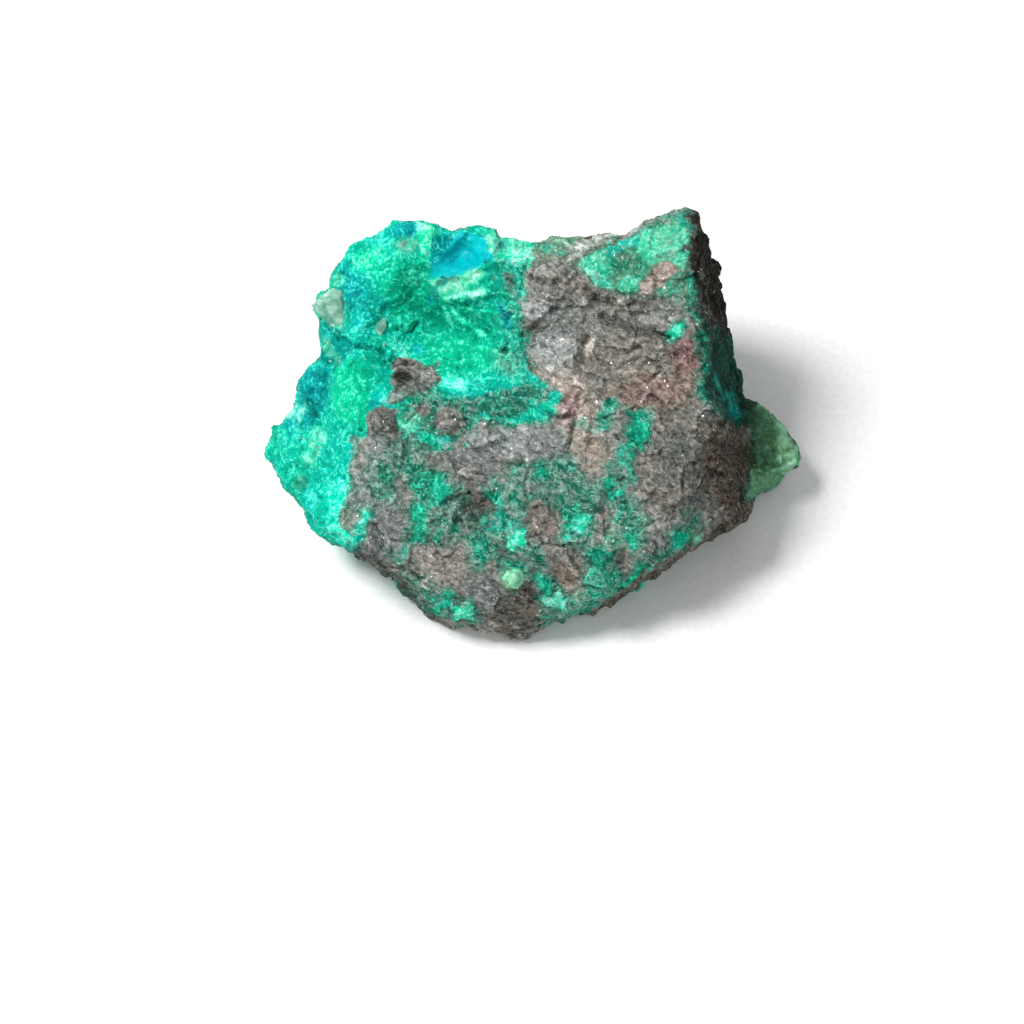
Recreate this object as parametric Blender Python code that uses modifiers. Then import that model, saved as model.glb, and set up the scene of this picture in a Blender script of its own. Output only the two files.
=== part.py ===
"""Chrysocolla specimen: one lump of copper-stained rock, broken on every side.

The lump is shaped in the frame of its broad front face, in millimetres: x to the right, y up
the face, z out of it, with the middle of the face near z = 0. It is then leaned back onto its
flat underside, so that the world's +Z is up and the origin is the bottom centre of its box.
"""

import math

import bmesh
import bpy
from mathutils import Matrix, Vector, noise

MM = 0.001
PART_NAME = "chrysocolla_rock"

# How the lump rests: the front face is turned this far up from facing the -Y side.
FACE_ELEVATION = math.radians(60.0)
# Distance from the middle of the face to the underside, measured straight down when it rests.
FACE_HEIGHT = 20.3

# The lump seen square to its face, clockwise from the left tip. Its widest edge lies a little
# behind the face.
FACE_OUTLINE = [
    (-33.2, -3.0),
    (-31.4, -0.5),
    (-28.8, 3.0),
    (-26.8, 5.9),
    (-24.4, 7.7),
    (-25.0, 11.1),
    (-23.7, 16.2),
    (-22.4, 19.9),
    (-20.3, 22.1),
    (-16.3, 24.3),
    (-12.7, 24.3),
    (-10.0, 22.6),
    (-6.0, 23.2),
    (-3.0, 22.0),
    (1.9, 21.7),
    (7.9, 22.9),
    (14.0, 24.2),
    (17.6, 25.5),
    (20.1, 25.6),
    (23.2, 20.0),
    (25.8, 10.0),
    (28.2, 0.2),
    (28.2, -9.5),
    (26.1, -11.7),
    (15.8, -17.1),
    (8.7, -22.3),
    (5.4, -25.2),
    (2.6, -26.3),
    (0.0, -26.0),
    (-3.6, -24.8),
    (-9.2, -24.3),
    (-13.7, -22.6),
    (-16.9, -20.2),
    (-18.0, -17.0),
    (-21.1, -14.8),
    (-24.2, -13.5),
    (-26.6, -10.9),
    (-30.4, -6.9),
]
FACE_FRONT = 0.6
BODY_BACK = -38.0

# Breaks that took material off the body: a point on each and the way it faces.
BREAKS = {
    "left_facet": ((-21.6, 0.0, 0.0), (-0.66, 0.02, 0.75)),
    "upper_left": ((-17.5, 17.5, 0.0), (-0.60, 0.25, 0.76)),
    "right_flank": ((20.8, 16.0, -0.3), (0.945, 0.105, 0.31)),
    "right_cheek": ((21.5, -1.5, 0.0), (0.50, -0.24, 0.83)),
    "lower_right": ((15.5, -17.1, -3.4), (0.505, -0.813, 0.29)),
    "lower_left": ((-18.8, -17.5, -4.6), (-0.59, -0.75, 0.30)),
    "back_wall": ((0.0, 23.8, -24.7), (0.05, 0.644, -0.764)),
    "back_top_left": ((-17.0, 21.0, -13.0), (-0.42, 0.74, -0.52)),
    "back_top_right": ((16.0, 23.5, -15.0), (0.36, 0.82, -0.44)),
    "back_left": ((-32.8, -3.0, -12.0), (-0.84, 0.05, -0.54)),
    "back_right": ((27.0, 8.0, -17.0), (0.83, 0.30, -0.47)),
}

# The ledge that sticks out at the far right, seen square to the face.
LEDGE_OUTLINE = [
    (20.0, 5.0),
    (28.9, 3.4),
    (30.1, 2.6),
    (31.9, 0.6),
    (33.6, -2.8),
    (33.2, -4.6),
    (30.4, -6.8),
    (28.0, -8.0),
    (20.0, -8.0),
]
LEDGE_FRONT = -11.5
LEDGE_BACK = -24.0
LEDGE_BREAKS = {
    "pale_facet": ((31.0, -1.0, -12.6), (0.38, 0.12, 0.92)),
    "under_facet": ((31.5, -5.2, -14.0), (0.35, -0.80, 0.48)),
    "ledge_back": ((32.0, 0.0, -19.0), (0.70, 0.35, -0.62)),
}

# The quartz knob on the upper left edge.
KNOB_CENTRE = (-23.9, 14.6, -5.0)
KNOB_RADIUS = 1.7

# Swellings and hollows of the face: centre, half width, half height, turn in degrees, rise.
FACE_FORMS = {
    "green_scoop": ((-11.8, 11.8), 10.5, 8.0, -22.0, -4.4),
    "blue_hollow": ((-8.1, 20.8), 4.4, 2.8, 12.0, -2.2),
    "rim_lip": ((-13.5, 20.6), 4.5, 2.6, 8.0, 1.0),
    "top_strip": ((7.5, 23.2), 9.5, 2.6, 14.0, -2.6),
    "grey_lobe": ((2.9, 17.2), 4.2, 3.8, 0.0, 1.5),
    "step_hollow": ((11.3, 13.5), 8.0, 2.6, -6.0, -2.2),
    "second_step": ((14.5, 11.0), 4.2, 1.9, -25.0, -1.2),
    "mint_corner": ((16.0, 20.0), 5.5, 4.5, 0.0, 0.7),
    "lilac_block": ((4.6, 9.0), 4.6, 3.4, -20.0, 1.3),
    "middle_swell": ((-1.0, -2.4), 8.5, 3.2, 4.0, 1.3),
    "tower": ((-17.6, -1.0), 3.0, 4.0, 0.0, 1.0),
    "right_swell": ((14.0, -4.0), 9.0, 8.0, 0.0, 0.9),
    "dark_hollow": ((-6.6, -9.6), 4.0, 4.4, 20.0, -1.4),
    "lower_notch": ((10.4, -16.2), 3.0, 2.2, 30.0, -1.4),
    "pale_knob": ((-1.8, -18.4), 2.2, 2.0, 0.0, 1.1),
    "nose": ((-1.5, -22.4), 6.5, 3.4, 0.0, 1.0),
}
# The forms fade out this far behind the face.
FORM_DEPTH = 12.0
# Below this height on the face the surface rolls back, steeper towards the lower edge.
ROLL_START = -11.0
ROLL_CURVE = 0.033
ROLL_DEPTH = 17.0

# Roughness of the broken rock: wave lengths and heights.
LUMP_WAVE = 13.0
LUMP_HEIGHT = 1.1
CHIP_CELL = 6.5
CHIP_TILT = 0.16
GRAIN_WAVE = 3.2
GRAIN_HEIGHT = 0.35
# The front face is flatter than the sides by this share.
FACE_CALM = 0.45

SKIN_VOXEL = 0.8
TRIANGLES = 7800
# The underside is cut roughly before the net is thinned, and this much higher after it, so
# that it ends up truly flat.
UNDERSIDE_TRIM = 0.15


def clear_scene():
    for obj in list(bpy.data.objects):
        bpy.data.objects.remove(obj, do_unlink=True)


def new_collection(name):
    collection = bpy.data.collections.new(name)
    bpy.context.scene.collection.children.link(collection)
    return collection


def outline_block(name, outline, front, back, collection):
    """A flat outline drawn out from its back to its front, as a closed mesh."""
    curve = bpy.data.curves.new(name, "CURVE")
    curve.dimensions = "2D"
    curve.fill_mode = "BOTH"
    curve.extrude = (front - back) * 0.5
    spline = curve.splines.new("POLY")
    spline.points.add(len(outline) - 1)
    for point, (x, y) in zip(spline.points, outline):
        point.co = (x, y, 0.0, 1.0)
    spline.use_cyclic_u = True
    drawn = bpy.data.objects.new(name + "_outline", curve)
    collection.objects.link(drawn)
    bpy.context.view_layer.update()
    evaluated = drawn.evaluated_get(bpy.context.evaluated_depsgraph_get())
    mesh = bpy.data.meshes.new_from_object(evaluated)
    bpy.data.objects.remove(drawn, do_unlink=True)
    mesh.transform(Matrix.Translation((0.0, 0.0, (front + back) * 0.5)))
    work = bmesh.new()
    work.from_mesh(mesh)
    bmesh.ops.remove_doubles(work, verts=work.verts, dist=0.0001)
    bmesh.ops.recalc_face_normals(work, faces=work.faces)
    work.to_mesh(mesh)
    work.free()
    mesh.name = name
    block = bpy.data.objects.new(name, mesh)
    collection.objects.link(block)
    return block


def break_off(block, breaks):
    """Cuts a block flat at each named break and closes the cut."""
    work = bmesh.new()
    work.from_mesh(block.data)
    for point, facing in breaks.values():
        everything = work.verts[:] + work.edges[:] + work.faces[:]
        cut = bmesh.ops.bisect_plane(
            work,
            geom=everything,
            plane_co=Vector(point),
            plane_no=Vector(facing).normalized(),
            clear_outer=True,
        )
        rim = [item for item in cut["geom_cut"] if isinstance(item, bmesh.types.BMEdge)]
        if rim:
            bmesh.ops.holes_fill(work, edges=rim)
    bmesh.ops.recalc_face_normals(work, faces=work.faces)
    work.to_mesh(block.data)
    work.free()


def quartz_knob(collection):
    work = bmesh.new()
    bmesh.ops.create_icosphere(work, subdivisions=2, radius=KNOB_RADIUS)
    mesh = bpy.data.meshes.new("quartz_knob")
    work.to_mesh(mesh)
    work.free()
    mesh.transform(Matrix.Translation(KNOB_CENTRE))
    knob = bpy.data.objects.new("quartz_knob", mesh)
    collection.objects.link(knob)
    return knob


def join_lumps(body, lumps):
    """Grows the lumps together with the body, into one solid."""
    for lump in lumps:
        union = body.modifiers.new("grow_" + lump.name, "BOOLEAN")
        union.operation = "UNION"
        union.solver = "EXACT"
        union.object = lump
    bake_modifiers(body)
    for lump in lumps:
        bpy.data.objects.remove(lump, do_unlink=True)


def bake_modifiers(obj):
    bpy.context.view_layer.update()
    evaluated = obj.evaluated_get(bpy.context.evaluated_depsgraph_get())
    mesh = bpy.data.meshes.new_from_object(evaluated)
    obj.modifiers.clear()
    old = obj.data
    obj.data = mesh
    bpy.data.meshes.remove(old)


def even_skin(body):
    """Gives the solid an even net of small faces, which the surface forms are pushed into."""
    remesh = body.modifiers.new("skin", "REMESH")
    remesh.mode = "VOXEL"
    remesh.voxel_size = SKIN_VOXEL
    bake_modifiers(body)


def smooth_step(value):
    value = min(1.0, max(0.0, value))
    return value * value * (3.0 - 2.0 * value)


def form_rise(x, y):
    """How far the named forms stand out of the plane of the front face."""
    rise = 0.0
    for (cx, cy), half_width, half_height, turn, height in FACE_FORMS.values():
        angle = math.radians(turn)
        dx = x - cx
        dy = y - cy
        along = (dx * math.cos(angle) + dy * math.sin(angle)) / half_width
        across = (dy * math.cos(angle) - dx * math.sin(angle)) / half_height
        rise += height * smooth_step(1.0 - math.hypot(along, across))
    return rise


def roll_back(y):
    below = max(0.0, ROLL_START - y)
    return ROLL_CURVE * below * below


def chip_facet(place):
    """Height of a patchwork of small flat breaks, each cell tilted its own way."""
    nearest = noise.voronoi(place / CHIP_CELL)[1][0]
    tilt = noise.cell_vector(nearest * 7.31) * 2.0 - Vector((1.0, 1.0, 1.0))
    return CHIP_TILT * tilt.dot(place - nearest * CHIP_CELL)


def rock_roughness(place):
    lumps = noise.fractal(place / LUMP_WAVE, 1.0, 2.0, 3) * LUMP_HEIGHT
    grain = noise.noise(place / GRAIN_WAVE) * GRAIN_HEIGHT
    return lumps + grain + chip_facet(place)


def shape_surface(body):
    """Pushes the face forms and the broken roughness into the even skin."""
    mesh = body.data
    places = [vertex.co.copy() for vertex in mesh.vertices]
    facings = [vertex.normal.copy() for vertex in mesh.vertices]
    for vertex, place, facing in zip(mesh.vertices, places, facings):
        frontness = smooth_step((facing.z - 0.15) / 0.6)
        calm = 1.0 - (1.0 - FACE_CALM) * frontness
        moved = place + facing * rock_roughness(place) * calm
        moved.z += form_rise(place.x, place.y) * smooth_step(1.0 + place.z / FORM_DEPTH)
        moved.z -= roll_back(place.y) * smooth_step(1.0 + place.z / ROLL_DEPTH)
        vertex.co = moved
    mesh.update()


def thin_net(body):
    """Keeps the shape with fewer triangles."""
    triangulate = body.modifiers.new("triangles", "TRIANGULATE")
    triangulate.quad_method = "SHORTEST_DIAGONAL"
    bake_modifiers(body)
    thin = body.modifiers.new("thin", "DECIMATE")
    thin.ratio = TRIANGLES / len(body.data.polygons)
    bake_modifiers(body)


def lean_back(body):
    """Turns the face frame into the world, with the underside level at height zero."""
    lean = math.pi * 0.5 - FACE_ELEVATION
    body.data.transform(Matrix.Rotation(lean, 4, "X"))
    body.data.transform(Matrix.Translation((0.0, 0.0, FACE_HEIGHT)))


def flat_underside(body, height):
    """The break that the lump lies on."""
    break_off(body, {"underside": ((0.0, 0.0, height), (0.0, 0.0, -1.0))})


def settle(body):
    """Puts the origin at the bottom centre of the box and scales millimetres to metres.

    Returns where the middle of the front face then is, in millimetres.
    """
    corners = [vertex.co for vertex in body.data.vertices]
    low = Vector(min(corner[axis] for corner in corners) for axis in range(3))
    high = Vector(max(corner[axis] for corner in corners) for axis in range(3))
    middle = Vector(((low.x + high.x) * 0.5, (low.y + high.y) * 0.5, low.z))
    body.data.transform(Matrix.Translation(-middle))
    body.data.transform(Matrix.Scale(MM, 4))
    body.data.update()
    return Vector((0.0, 0.0, FACE_HEIGHT)) - middle


def rock_material():
    material = bpy.data.materials.new("chrysocolla_crust")
    material.use_nodes = True
    shader = material.node_tree.nodes["Principled BSDF"]
    shader.inputs["Base Color"].default_value = (0.05, 0.35, 0.28, 1.0)
    shader.inputs["Roughness"].default_value = 0.72
    shader.inputs["Metallic"].default_value = 0.0
    return material


def build_rock():
    parts = new_collection("chrysocolla_specimen")
    body = outline_block(PART_NAME, FACE_OUTLINE, FACE_FRONT, BODY_BACK, parts)
    break_off(body, BREAKS)
    ledge = outline_block("ledge", LEDGE_OUTLINE, LEDGE_FRONT, LEDGE_BACK, parts)
    break_off(ledge, LEDGE_BREAKS)
    join_lumps(body, [ledge, quartz_knob(parts)])
    even_skin(body)
    shape_surface(body)
    lean_back(body)
    flat_underside(body, 0.0)
    thin_net(body)
    flat_underside(body, UNDERSIDE_TRIM)
    face_middle = settle(body)
    body.data.materials.append(rock_material())
    return face_middle


clear_scene()
face_middle = build_rock()
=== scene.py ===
import math

import bmesh
import bpy
import numpy as np
from mathutils import Matrix, Vector, noise
from mathutils.bvhtree import BVHTree


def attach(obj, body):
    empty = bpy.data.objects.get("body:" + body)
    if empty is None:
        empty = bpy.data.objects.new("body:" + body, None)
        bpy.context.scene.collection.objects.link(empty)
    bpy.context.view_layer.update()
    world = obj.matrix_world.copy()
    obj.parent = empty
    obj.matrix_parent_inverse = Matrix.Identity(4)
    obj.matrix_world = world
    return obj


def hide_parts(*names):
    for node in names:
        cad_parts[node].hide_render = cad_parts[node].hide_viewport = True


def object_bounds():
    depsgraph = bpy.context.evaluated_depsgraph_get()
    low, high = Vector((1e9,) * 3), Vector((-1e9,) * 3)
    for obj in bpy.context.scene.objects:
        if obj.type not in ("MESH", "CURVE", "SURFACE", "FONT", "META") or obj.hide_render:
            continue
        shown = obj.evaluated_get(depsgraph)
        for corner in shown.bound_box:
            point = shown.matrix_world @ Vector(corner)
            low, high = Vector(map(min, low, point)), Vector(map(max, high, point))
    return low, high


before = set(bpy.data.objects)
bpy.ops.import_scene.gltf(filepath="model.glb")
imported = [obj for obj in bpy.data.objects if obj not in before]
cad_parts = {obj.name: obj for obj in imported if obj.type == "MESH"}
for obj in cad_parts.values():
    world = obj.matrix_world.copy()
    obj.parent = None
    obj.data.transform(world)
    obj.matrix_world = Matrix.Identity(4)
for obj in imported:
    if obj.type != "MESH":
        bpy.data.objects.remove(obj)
cadLow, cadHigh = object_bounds()
mm = 0.001

# The camera looks square at the broad face, which leans back as the lump lies. Lengths are in
# mm: aim is the spot of the face in the middle of the picture, faceMiddle the face's own zero.
shot = {
    "pixels": 1024,
    "lens": 70.0,
    "sensor": 36.0,
    "elevation": math.radians(60.0),
    "distance": 237.0,
    "aim": (-2.14, -10.36),
    "faceMiddle": (-0.557, -7.238, 20.15),
    "nearest": 0.01,            # m
}
halfPicture = shot["pixels"] / 2
pixelsPerMm = shot["pixels"] * shot["lens"] / (shot["sensor"] * shot["distance"])
faceTurn = Matrix.Rotation(math.pi / 2 - shot["elevation"], 3, "X")
towardCamera = faceTurn @ Vector((0.0, 0.0, 1.0))
# the layers of the rock run down to the right over the face
layerLie = faceTurn @ Vector((0.84, -0.54, 0.0))

# What is painted on the lump, from 0 to 1 at every point: how much of it is green crust, how
# pale and how cyan that crust is, how light and how rusty the rock is, the dark stain together
# with painted shade in holes, creases, under edges and over the right flank, the whitish frost
# and the blue glassy copper silicate.
fieldNames = ("crust", "pale", "cyan", "tone", "rust", "stain", "frost", "glass")


def ring(*corners, **looks):
    return {"ring": corners, **looks}


def path(half, *points, **looks):
    return {"path": points, "half": half, **looks}


def spot(middle, halfWidth, halfHeight, turn=0.0, **looks):
    return {"spot": (middle, halfWidth, halfHeight, turn), **looks}


# Patches of mineral on the sides that the camera sees, in picture pixels, painted in order: a
# ring of corners, a path with half its width, or a spot with its middle, half width, half
# height and turn. edge is half the width of the soft border and ragged how far it wanders.
patches = {}


def paint(edge, ragged, **shapes):
    # one group of patches, with the edge and ragged that most of them have
    for name, shape in shapes.items():
        patches[name] = {"edge": edge, "ragged": ragged, **shape}


paint(
    5, 2,
    rockFace=ring((200, 150), (860, 150), (860, 700), (200, 700), crust=0.1, pale=0.4, cyan=0.3, tone=0.5,
        rust=0.25, stain=0, frost=0, glass=0),
)

# the green and cyan crust of the upper left and the left tip
paint(
    3, 2,
    greenCrust=ring((250, 450), (292, 390), (315, 355), (305, 305), (340, 245), (395, 215), (445, 215),
        (505, 222), (540, 232), (552, 250), (536, 262), (527, 277), (529, 290), (522, 305), (520, 322),
        (526, 334), (522, 346), (531, 362), (550, 376), (580, 388), (574, 399), (557, 404), (549, 422),
        (529, 421), (521, 433), (509, 438), (500, 426), (480, 420), (470, 430), (470, 450), (447, 450),
        (430, 446), (414, 440), (398, 428), (395, 412), (381, 409), (370, 414), (369, 438), (353, 437),
        (351, 462), (349, 492), (344, 508), (341, 522), (343, 532), (356, 546), (330, 556), (295, 505),
        (275, 485), edge=4, ragged=6, crust=1, pale=0.43, cyan=0.4),
    tipGreen=ring((262, 450), (280, 428), (304, 428), (314, 452), (312, 478), (300, 498), edge=8,
        pale=0.44, cyan=0.3),
    tipCyan=ring((306, 462), (322, 440), (352, 445), (351, 480), (343, 512), (338, 540), (300, 505),
        edge=9, pale=0.46, cyan=0.5),
    tipBright=ring((324, 484), (346, 476), (344, 508), (340, 528), (326, 520), edge=7, pale=0.74,
        cyan=0.6),
    tipDusk=spot((300, 483), 7, 8, -40, edge=4, pale=0.26, frost=0.16),
    tipRim=path(7, (334, 530), (345, 538), (354, 543), crust=1, pale=0.78, cyan=0.45),
    tealShoulder=ring((286, 422), (298, 388), (318, 362), (342, 360), (336, 384), (328, 408), (316, 430),
        (296, 430), edge=6, ragged=5, pale=0.22, cyan=0.72),
    shoulderBlock=spot((313, 392), 12, 12, edge=4, pale=0.22, cyan=0.78),
    shoulderFrost=path(3, (304, 405), (301, 414), (299, 424), edge=4, ragged=4, pale=0.7, frost=0.3),
    shoulderFrost2=spot((290, 410), 4, 6, -30, ragged=3, pale=0.7, frost=0.45),
    greyCluster=path(6, (319, 434), (314, 447), (309, 458), edge=4, ragged=6, pale=0.7, cyan=0.4,
        frost=0.18),
    # greyClusterHole: painted shade in a hole
    greyClusterHole=spot((315, 450), 3, 6, -25, edge=2, stain=0.45),
    limeBand=ring((334, 362), (352, 358), (368, 372), (372, 392), (366, 426), (350, 430), (336, 418),
        (328, 400), edge=8, ragged=5, pale=0.55, cyan=0.05),
    limeUnder=spot((352, 432), 14, 9, edge=5, pale=0.36, cyan=0.25),
    # creaseTeal and creaseGreen: darker crust along creases, painted shade
    creaseTeal=path(1.5, (326, 322), (338, 335), (354, 346), (372, 350), (392, 357), edge=2, ragged=1,
        pale=0.06, cyan=0.5),
    creaseGreen=path(1.3, (404, 304), (413, 293), (423, 280), edge=2, ragged=1, pale=0.12),
    cyanBeside=spot((380, 396), 11, 14, -20, edge=6, pale=0.62, cyan=0.6),
    blueFleck=spot((374, 405), 4, 6, pale=0.3, cyan=1),
    frostySpot=spot((406, 421), 7, 8, -15, crust=0.9, pale=0.95, frost=0.4),
    leafBright=spot((366, 262), 20, 11, 35, edge=7, pale=0.68, cyan=0.15),
    upperTeal=spot((352, 290), 15, 27, 25, edge=7, pale=0.22, cyan=0.66),
    upperTeal2=spot((382, 300), 8, 12, edge=5, pale=0.27, cyan=0.62),
    upperTeal3=spot((362, 318), 14, 9, 20, edge=5, pale=0.35, cyan=0.62),
    edgeTeal=ring((318, 325), (332, 326), (348, 342), (356, 352), (340, 366), (318, 362), edge=5,
        pale=0.2, cyan=0.48),
    emerald=spot((410, 280), 34, 28, -10, edge=12, pale=0.45, cyan=0.1),
    jadeBlock=ring((385, 313), (404, 306), (418, 318), (410, 330), (388, 329), edge=4, pale=0.46,
        cyan=0.25),
    deepGreen=spot((462, 318), 50, 20, -15, edge=10, pale=0.22, cyan=0.05),
    greenSlope=spot((458, 355), 44, 20, -12, edge=12, pale=0.5, cyan=0.05),
    slopeCyan=spot((400, 350), 18, 9, -30, edge=6, pale=0.66, cyan=0.45),
    greenSlopeRight=spot((508, 362), 18, 14, -35, edge=8, crust=0.74, pale=0.42, cyan=0.15, frost=0.12),
    mintSlope=spot((452, 383), 13, 7, -15, edge=4, pale=0.85, cyan=0.5),
    blueSpot=spot((418, 349), 6, 4, pale=0.42, cyan=1, glass=0.5),
    seam=ring((497, 262), (528, 262), (526, 300), (522, 335), (528, 365), (508, 352), (498, 318), edge=10,
        ragged=9, crust=0.76, pale=0.38, cyan=0.3),
    seamOlive=spot((511, 283), 6, 10, -10, edge=6, ragged=5, crust=0.58, stain=0.28),
    seamBlue=path(4, (500, 306), (505, 316), (508, 326), crust=0.9, pale=0.2, cyan=1),
    topTealPatch=spot((405, 231), 14, 8, 10, pale=0.2, cyan=0.9),
    topQuartz=spot((406, 245), 12, 8, edge=4, pale=0.45, cyan=0.4, frost=0.36),
    topGreen=ring((419, 228), (432, 224), (440, 236), (433, 252), (430, 268), (420, 262), edge=4,
        ragged=3, pale=0.7, cyan=0.1),
    topMint=spot((424, 228), 8, 5, -20, pale=0.95, frost=0.2),
    paleRidge=ring((486, 230), (520, 232), (540, 242), (530, 262), (500, 262), (486, 256), edge=5,
        ragged=4, pale=0.78, cyan=0.35, frost=0.28),
    ridgeTeal=spot((500, 244), 6, 6, pale=0.35, cyan=0.75),
    underBlue=ring((431, 280), (456, 274), (478, 266), (482, 274), (466, 290), (446, 298), (434, 294),
        edge=5, ragged=4, pale=0.9, cyan=0.35, frost=0.34),
    crestPale=path(3, (445, 297), (462, 295), (482, 292), pale=0.95, cyan=0.3, frost=0.4),
    fan1=path(1.2, (447, 302), (470, 310), (498, 312), edge=1.5, ragged=1, pale=0.68),
    fan2=path(1, (446, 303), (464, 322), (486, 336), edge=1.5, ragged=1, pale=0.7),
    fan3=path(1, (444, 304), (450, 322), (456, 338), edge=1.5, ragged=1, pale=0.7),
    fan4=path(1.2, (482, 296), (500, 292), (514, 296), edge=1.5, ragged=1, pale=0.75),
    blueGlassLeft=ring((436, 236), (450, 234), (457, 236), (446, 250), (434, 266), (430, 262), ragged=3,
        pale=0.24, cyan=0.85),
    blueGlass=ring((457, 235), (462, 232), (471, 233), (482, 238), (486, 244), (486, 252), (495, 256),
        (482, 264), (471, 269), (461, 273), (448, 276), (429, 277), (432, 266), (446, 251), edge=1.8,
        ragged=1.5, crust=1, pale=0.36, cyan=1, frost=0, glass=1),
    blueGlassLight=ring((462, 233), (480, 237), (485, 250), (477, 254), (469, 248), edge=1.5, ragged=1,
        pale=0.53),
    blueGlassDeep=ring((458, 238), (470, 250), (477, 260), (466, 264), (454, 254), edge=2, ragged=1,
        pale=0.36),
    blueGlassTip=ring((478, 256), (494, 256), (480, 263), edge=1.5, ragged=1, pale=0.42),
    blueGlassSoft=ring((429, 272), (438, 264), (448, 268), (460, 270), (448, 276), (430, 278), ragged=1,
        pale=0.5),
    tealRay=path(4, (430, 300), (437, 288), (450, 276), pale=0.35, cyan=0.8),
    shoulderRim=path(3, (325, 338), (330, 352), (339, 362), edge=4, ragged=4, pale=0.45, frost=0.4),
)

# rock that shows through the green
paint(
    3, 2,
    pocket=ring((397, 362), (412, 360), (437, 364), (438, 378), (425, 390), (406, 394), (392, 394),
        (390, 384), edge=4, ragged=6, crust=0.1, tone=0.42, rust=0.3),
    pocketLight=spot((397, 396), 9, 7, 20, crust=0.2, tone=0.68),
    # pocketHole: painted shade in the hole that the pocketHole relief cuts
    pocketHole=spot((402, 376), 7, 6, tone=0.2, stain=0.7),
    pocketRight=spot((429, 375), 8, 7, tone=0.62),
    thinCrust=ring((396, 402), (430, 394), (470, 396), (545, 384), (576, 394), (545, 418), (520, 430),
        (480, 416), (462, 447), (415, 438), edge=7, ragged=6, crust=0.61, pale=0.2, cyan=0.25),
    thinBright=path(7, (505, 428), (520, 418), (545, 408), (560, 396), (576, 391), edge=5, ragged=5,
        crust=0.92, pale=0.45, cyan=0.35),
    thinBright2=spot((425, 438), 9, 8, edge=4, ragged=3, crust=0.95, pale=0.5, cyan=0.2),
    thinFrost=spot((416, 424), 15, 11, edge=6, ragged=6, pale=0.56, cyan=0.35, frost=0.26),
    thinCyan=spot((443, 441), 6, 5, crust=0.9, pale=0.6, cyan=0.8, frost=0.16),
    roundRock=spot((449, 421), 13, 12, ragged=3, crust=0.12, tone=0.52, rust=0.3),
    smallRock=spot((422, 410), 5, 4, edge=2, crust=0.1, tone=0.4),
    knobPale=ring((314, 306), (328, 288), (339, 289), (343, 305), (346, 334), (336, 332), (320, 318),
        ragged=3, pale=0.55, cyan=0.5, frost=0.28),
    knobAbove=spot((337, 281), 7, 8, 30, pale=0.5, cyan=0.4, frost=0.2),
)

# the mint crust of the upper right
paint(
    3, 4,
    mintCorner=ring((572, 262), (586, 252), (600, 244), (640, 231), (662, 220), (692, 212), (694, 238),
        (696, 262), (703, 290), (694, 306), (680, 300), (660, 297), (640, 296), (622, 294), (606, 292),
        (592, 284), (582, 272), edge=4, ragged=5, crust=0.66, pale=0.47, cyan=0.25, rust=0.1, frost=0.3),
    mintTriangle=ring((577, 262), (592, 252), (614, 251), (616, 272), (612, 290), (600, 286), (586, 274),
        ragged=3, crust=0.8, pale=0.64, cyan=0.3, frost=0.24),
    tealStrip=path(8, (612, 249), (628, 242), (644, 234), crust=0.86, pale=0.5, cyan=0.6, frost=0.16),
    mottledDark=ring((614, 250), (638, 245), (645, 262), (640, 288), (618, 288), (611, 270), edge=8,
        ragged=9, crust=0.58, pale=0.34, tone=0.4),
    oliveMint=spot((645, 248), 8, 10, edge=4, ragged=2, crust=0.95, pale=0.55, cyan=0, frost=0.24),
    palestMint=ring((646, 236), (660, 224), (680, 220), (690, 232), (692, 262), (680, 270), (670, 258),
        (650, 262), edge=6, crust=0.85, pale=0.58, cyan=0.22, frost=0.36),
    mintUnder=spot((630, 284), 14, 9, edge=5, crust=0.78, pale=0.58, cyan=0.3, frost=0.24),
    tealCorner=ring((676, 214), (694, 206), (698, 222), (692, 232), (680, 224), ragged=2, crust=1,
        pale=0.3, cyan=0.4, frost=0.2),
    greyCorner=spot((668, 218), 9, 5, 20, ragged=2, crust=0.5, tone=0.5),
    pinkPatch=ring((661, 261), (671, 262), (677, 271), (665, 285), (653, 295), (641, 294), (640, 283),
        (651, 274), edge=2, ragged=2.5, crust=0, tone=0.68, rust=0.75, frost=0),
    mottledRight=ring((655, 296), (670, 284), (690, 272), (696, 300), (686, 308), (668, 306), edge=5,
        ragged=5, crust=0.52, pale=0.5, tone=0.4),
    topStrip=ring((534, 238), (570, 234), (640, 220), (648, 228), (610, 243), (578, 258), (538, 260),
        crust=0.4, pale=0.45, cyan=0.4, tone=0.56, frost=0.4),
    topStripGreen=spot((553, 247), 17, 7, 10, edge=4, ragged=3, crust=0.6, pale=0.55, cyan=0.45,
        frost=0.24),
    topStripWhite=path(5, (572, 254), (590, 242), (616, 229), (634, 225), ragged=3, crust=0.1, tone=0.8,
        rust=0.1, frost=0.16),
)

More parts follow.
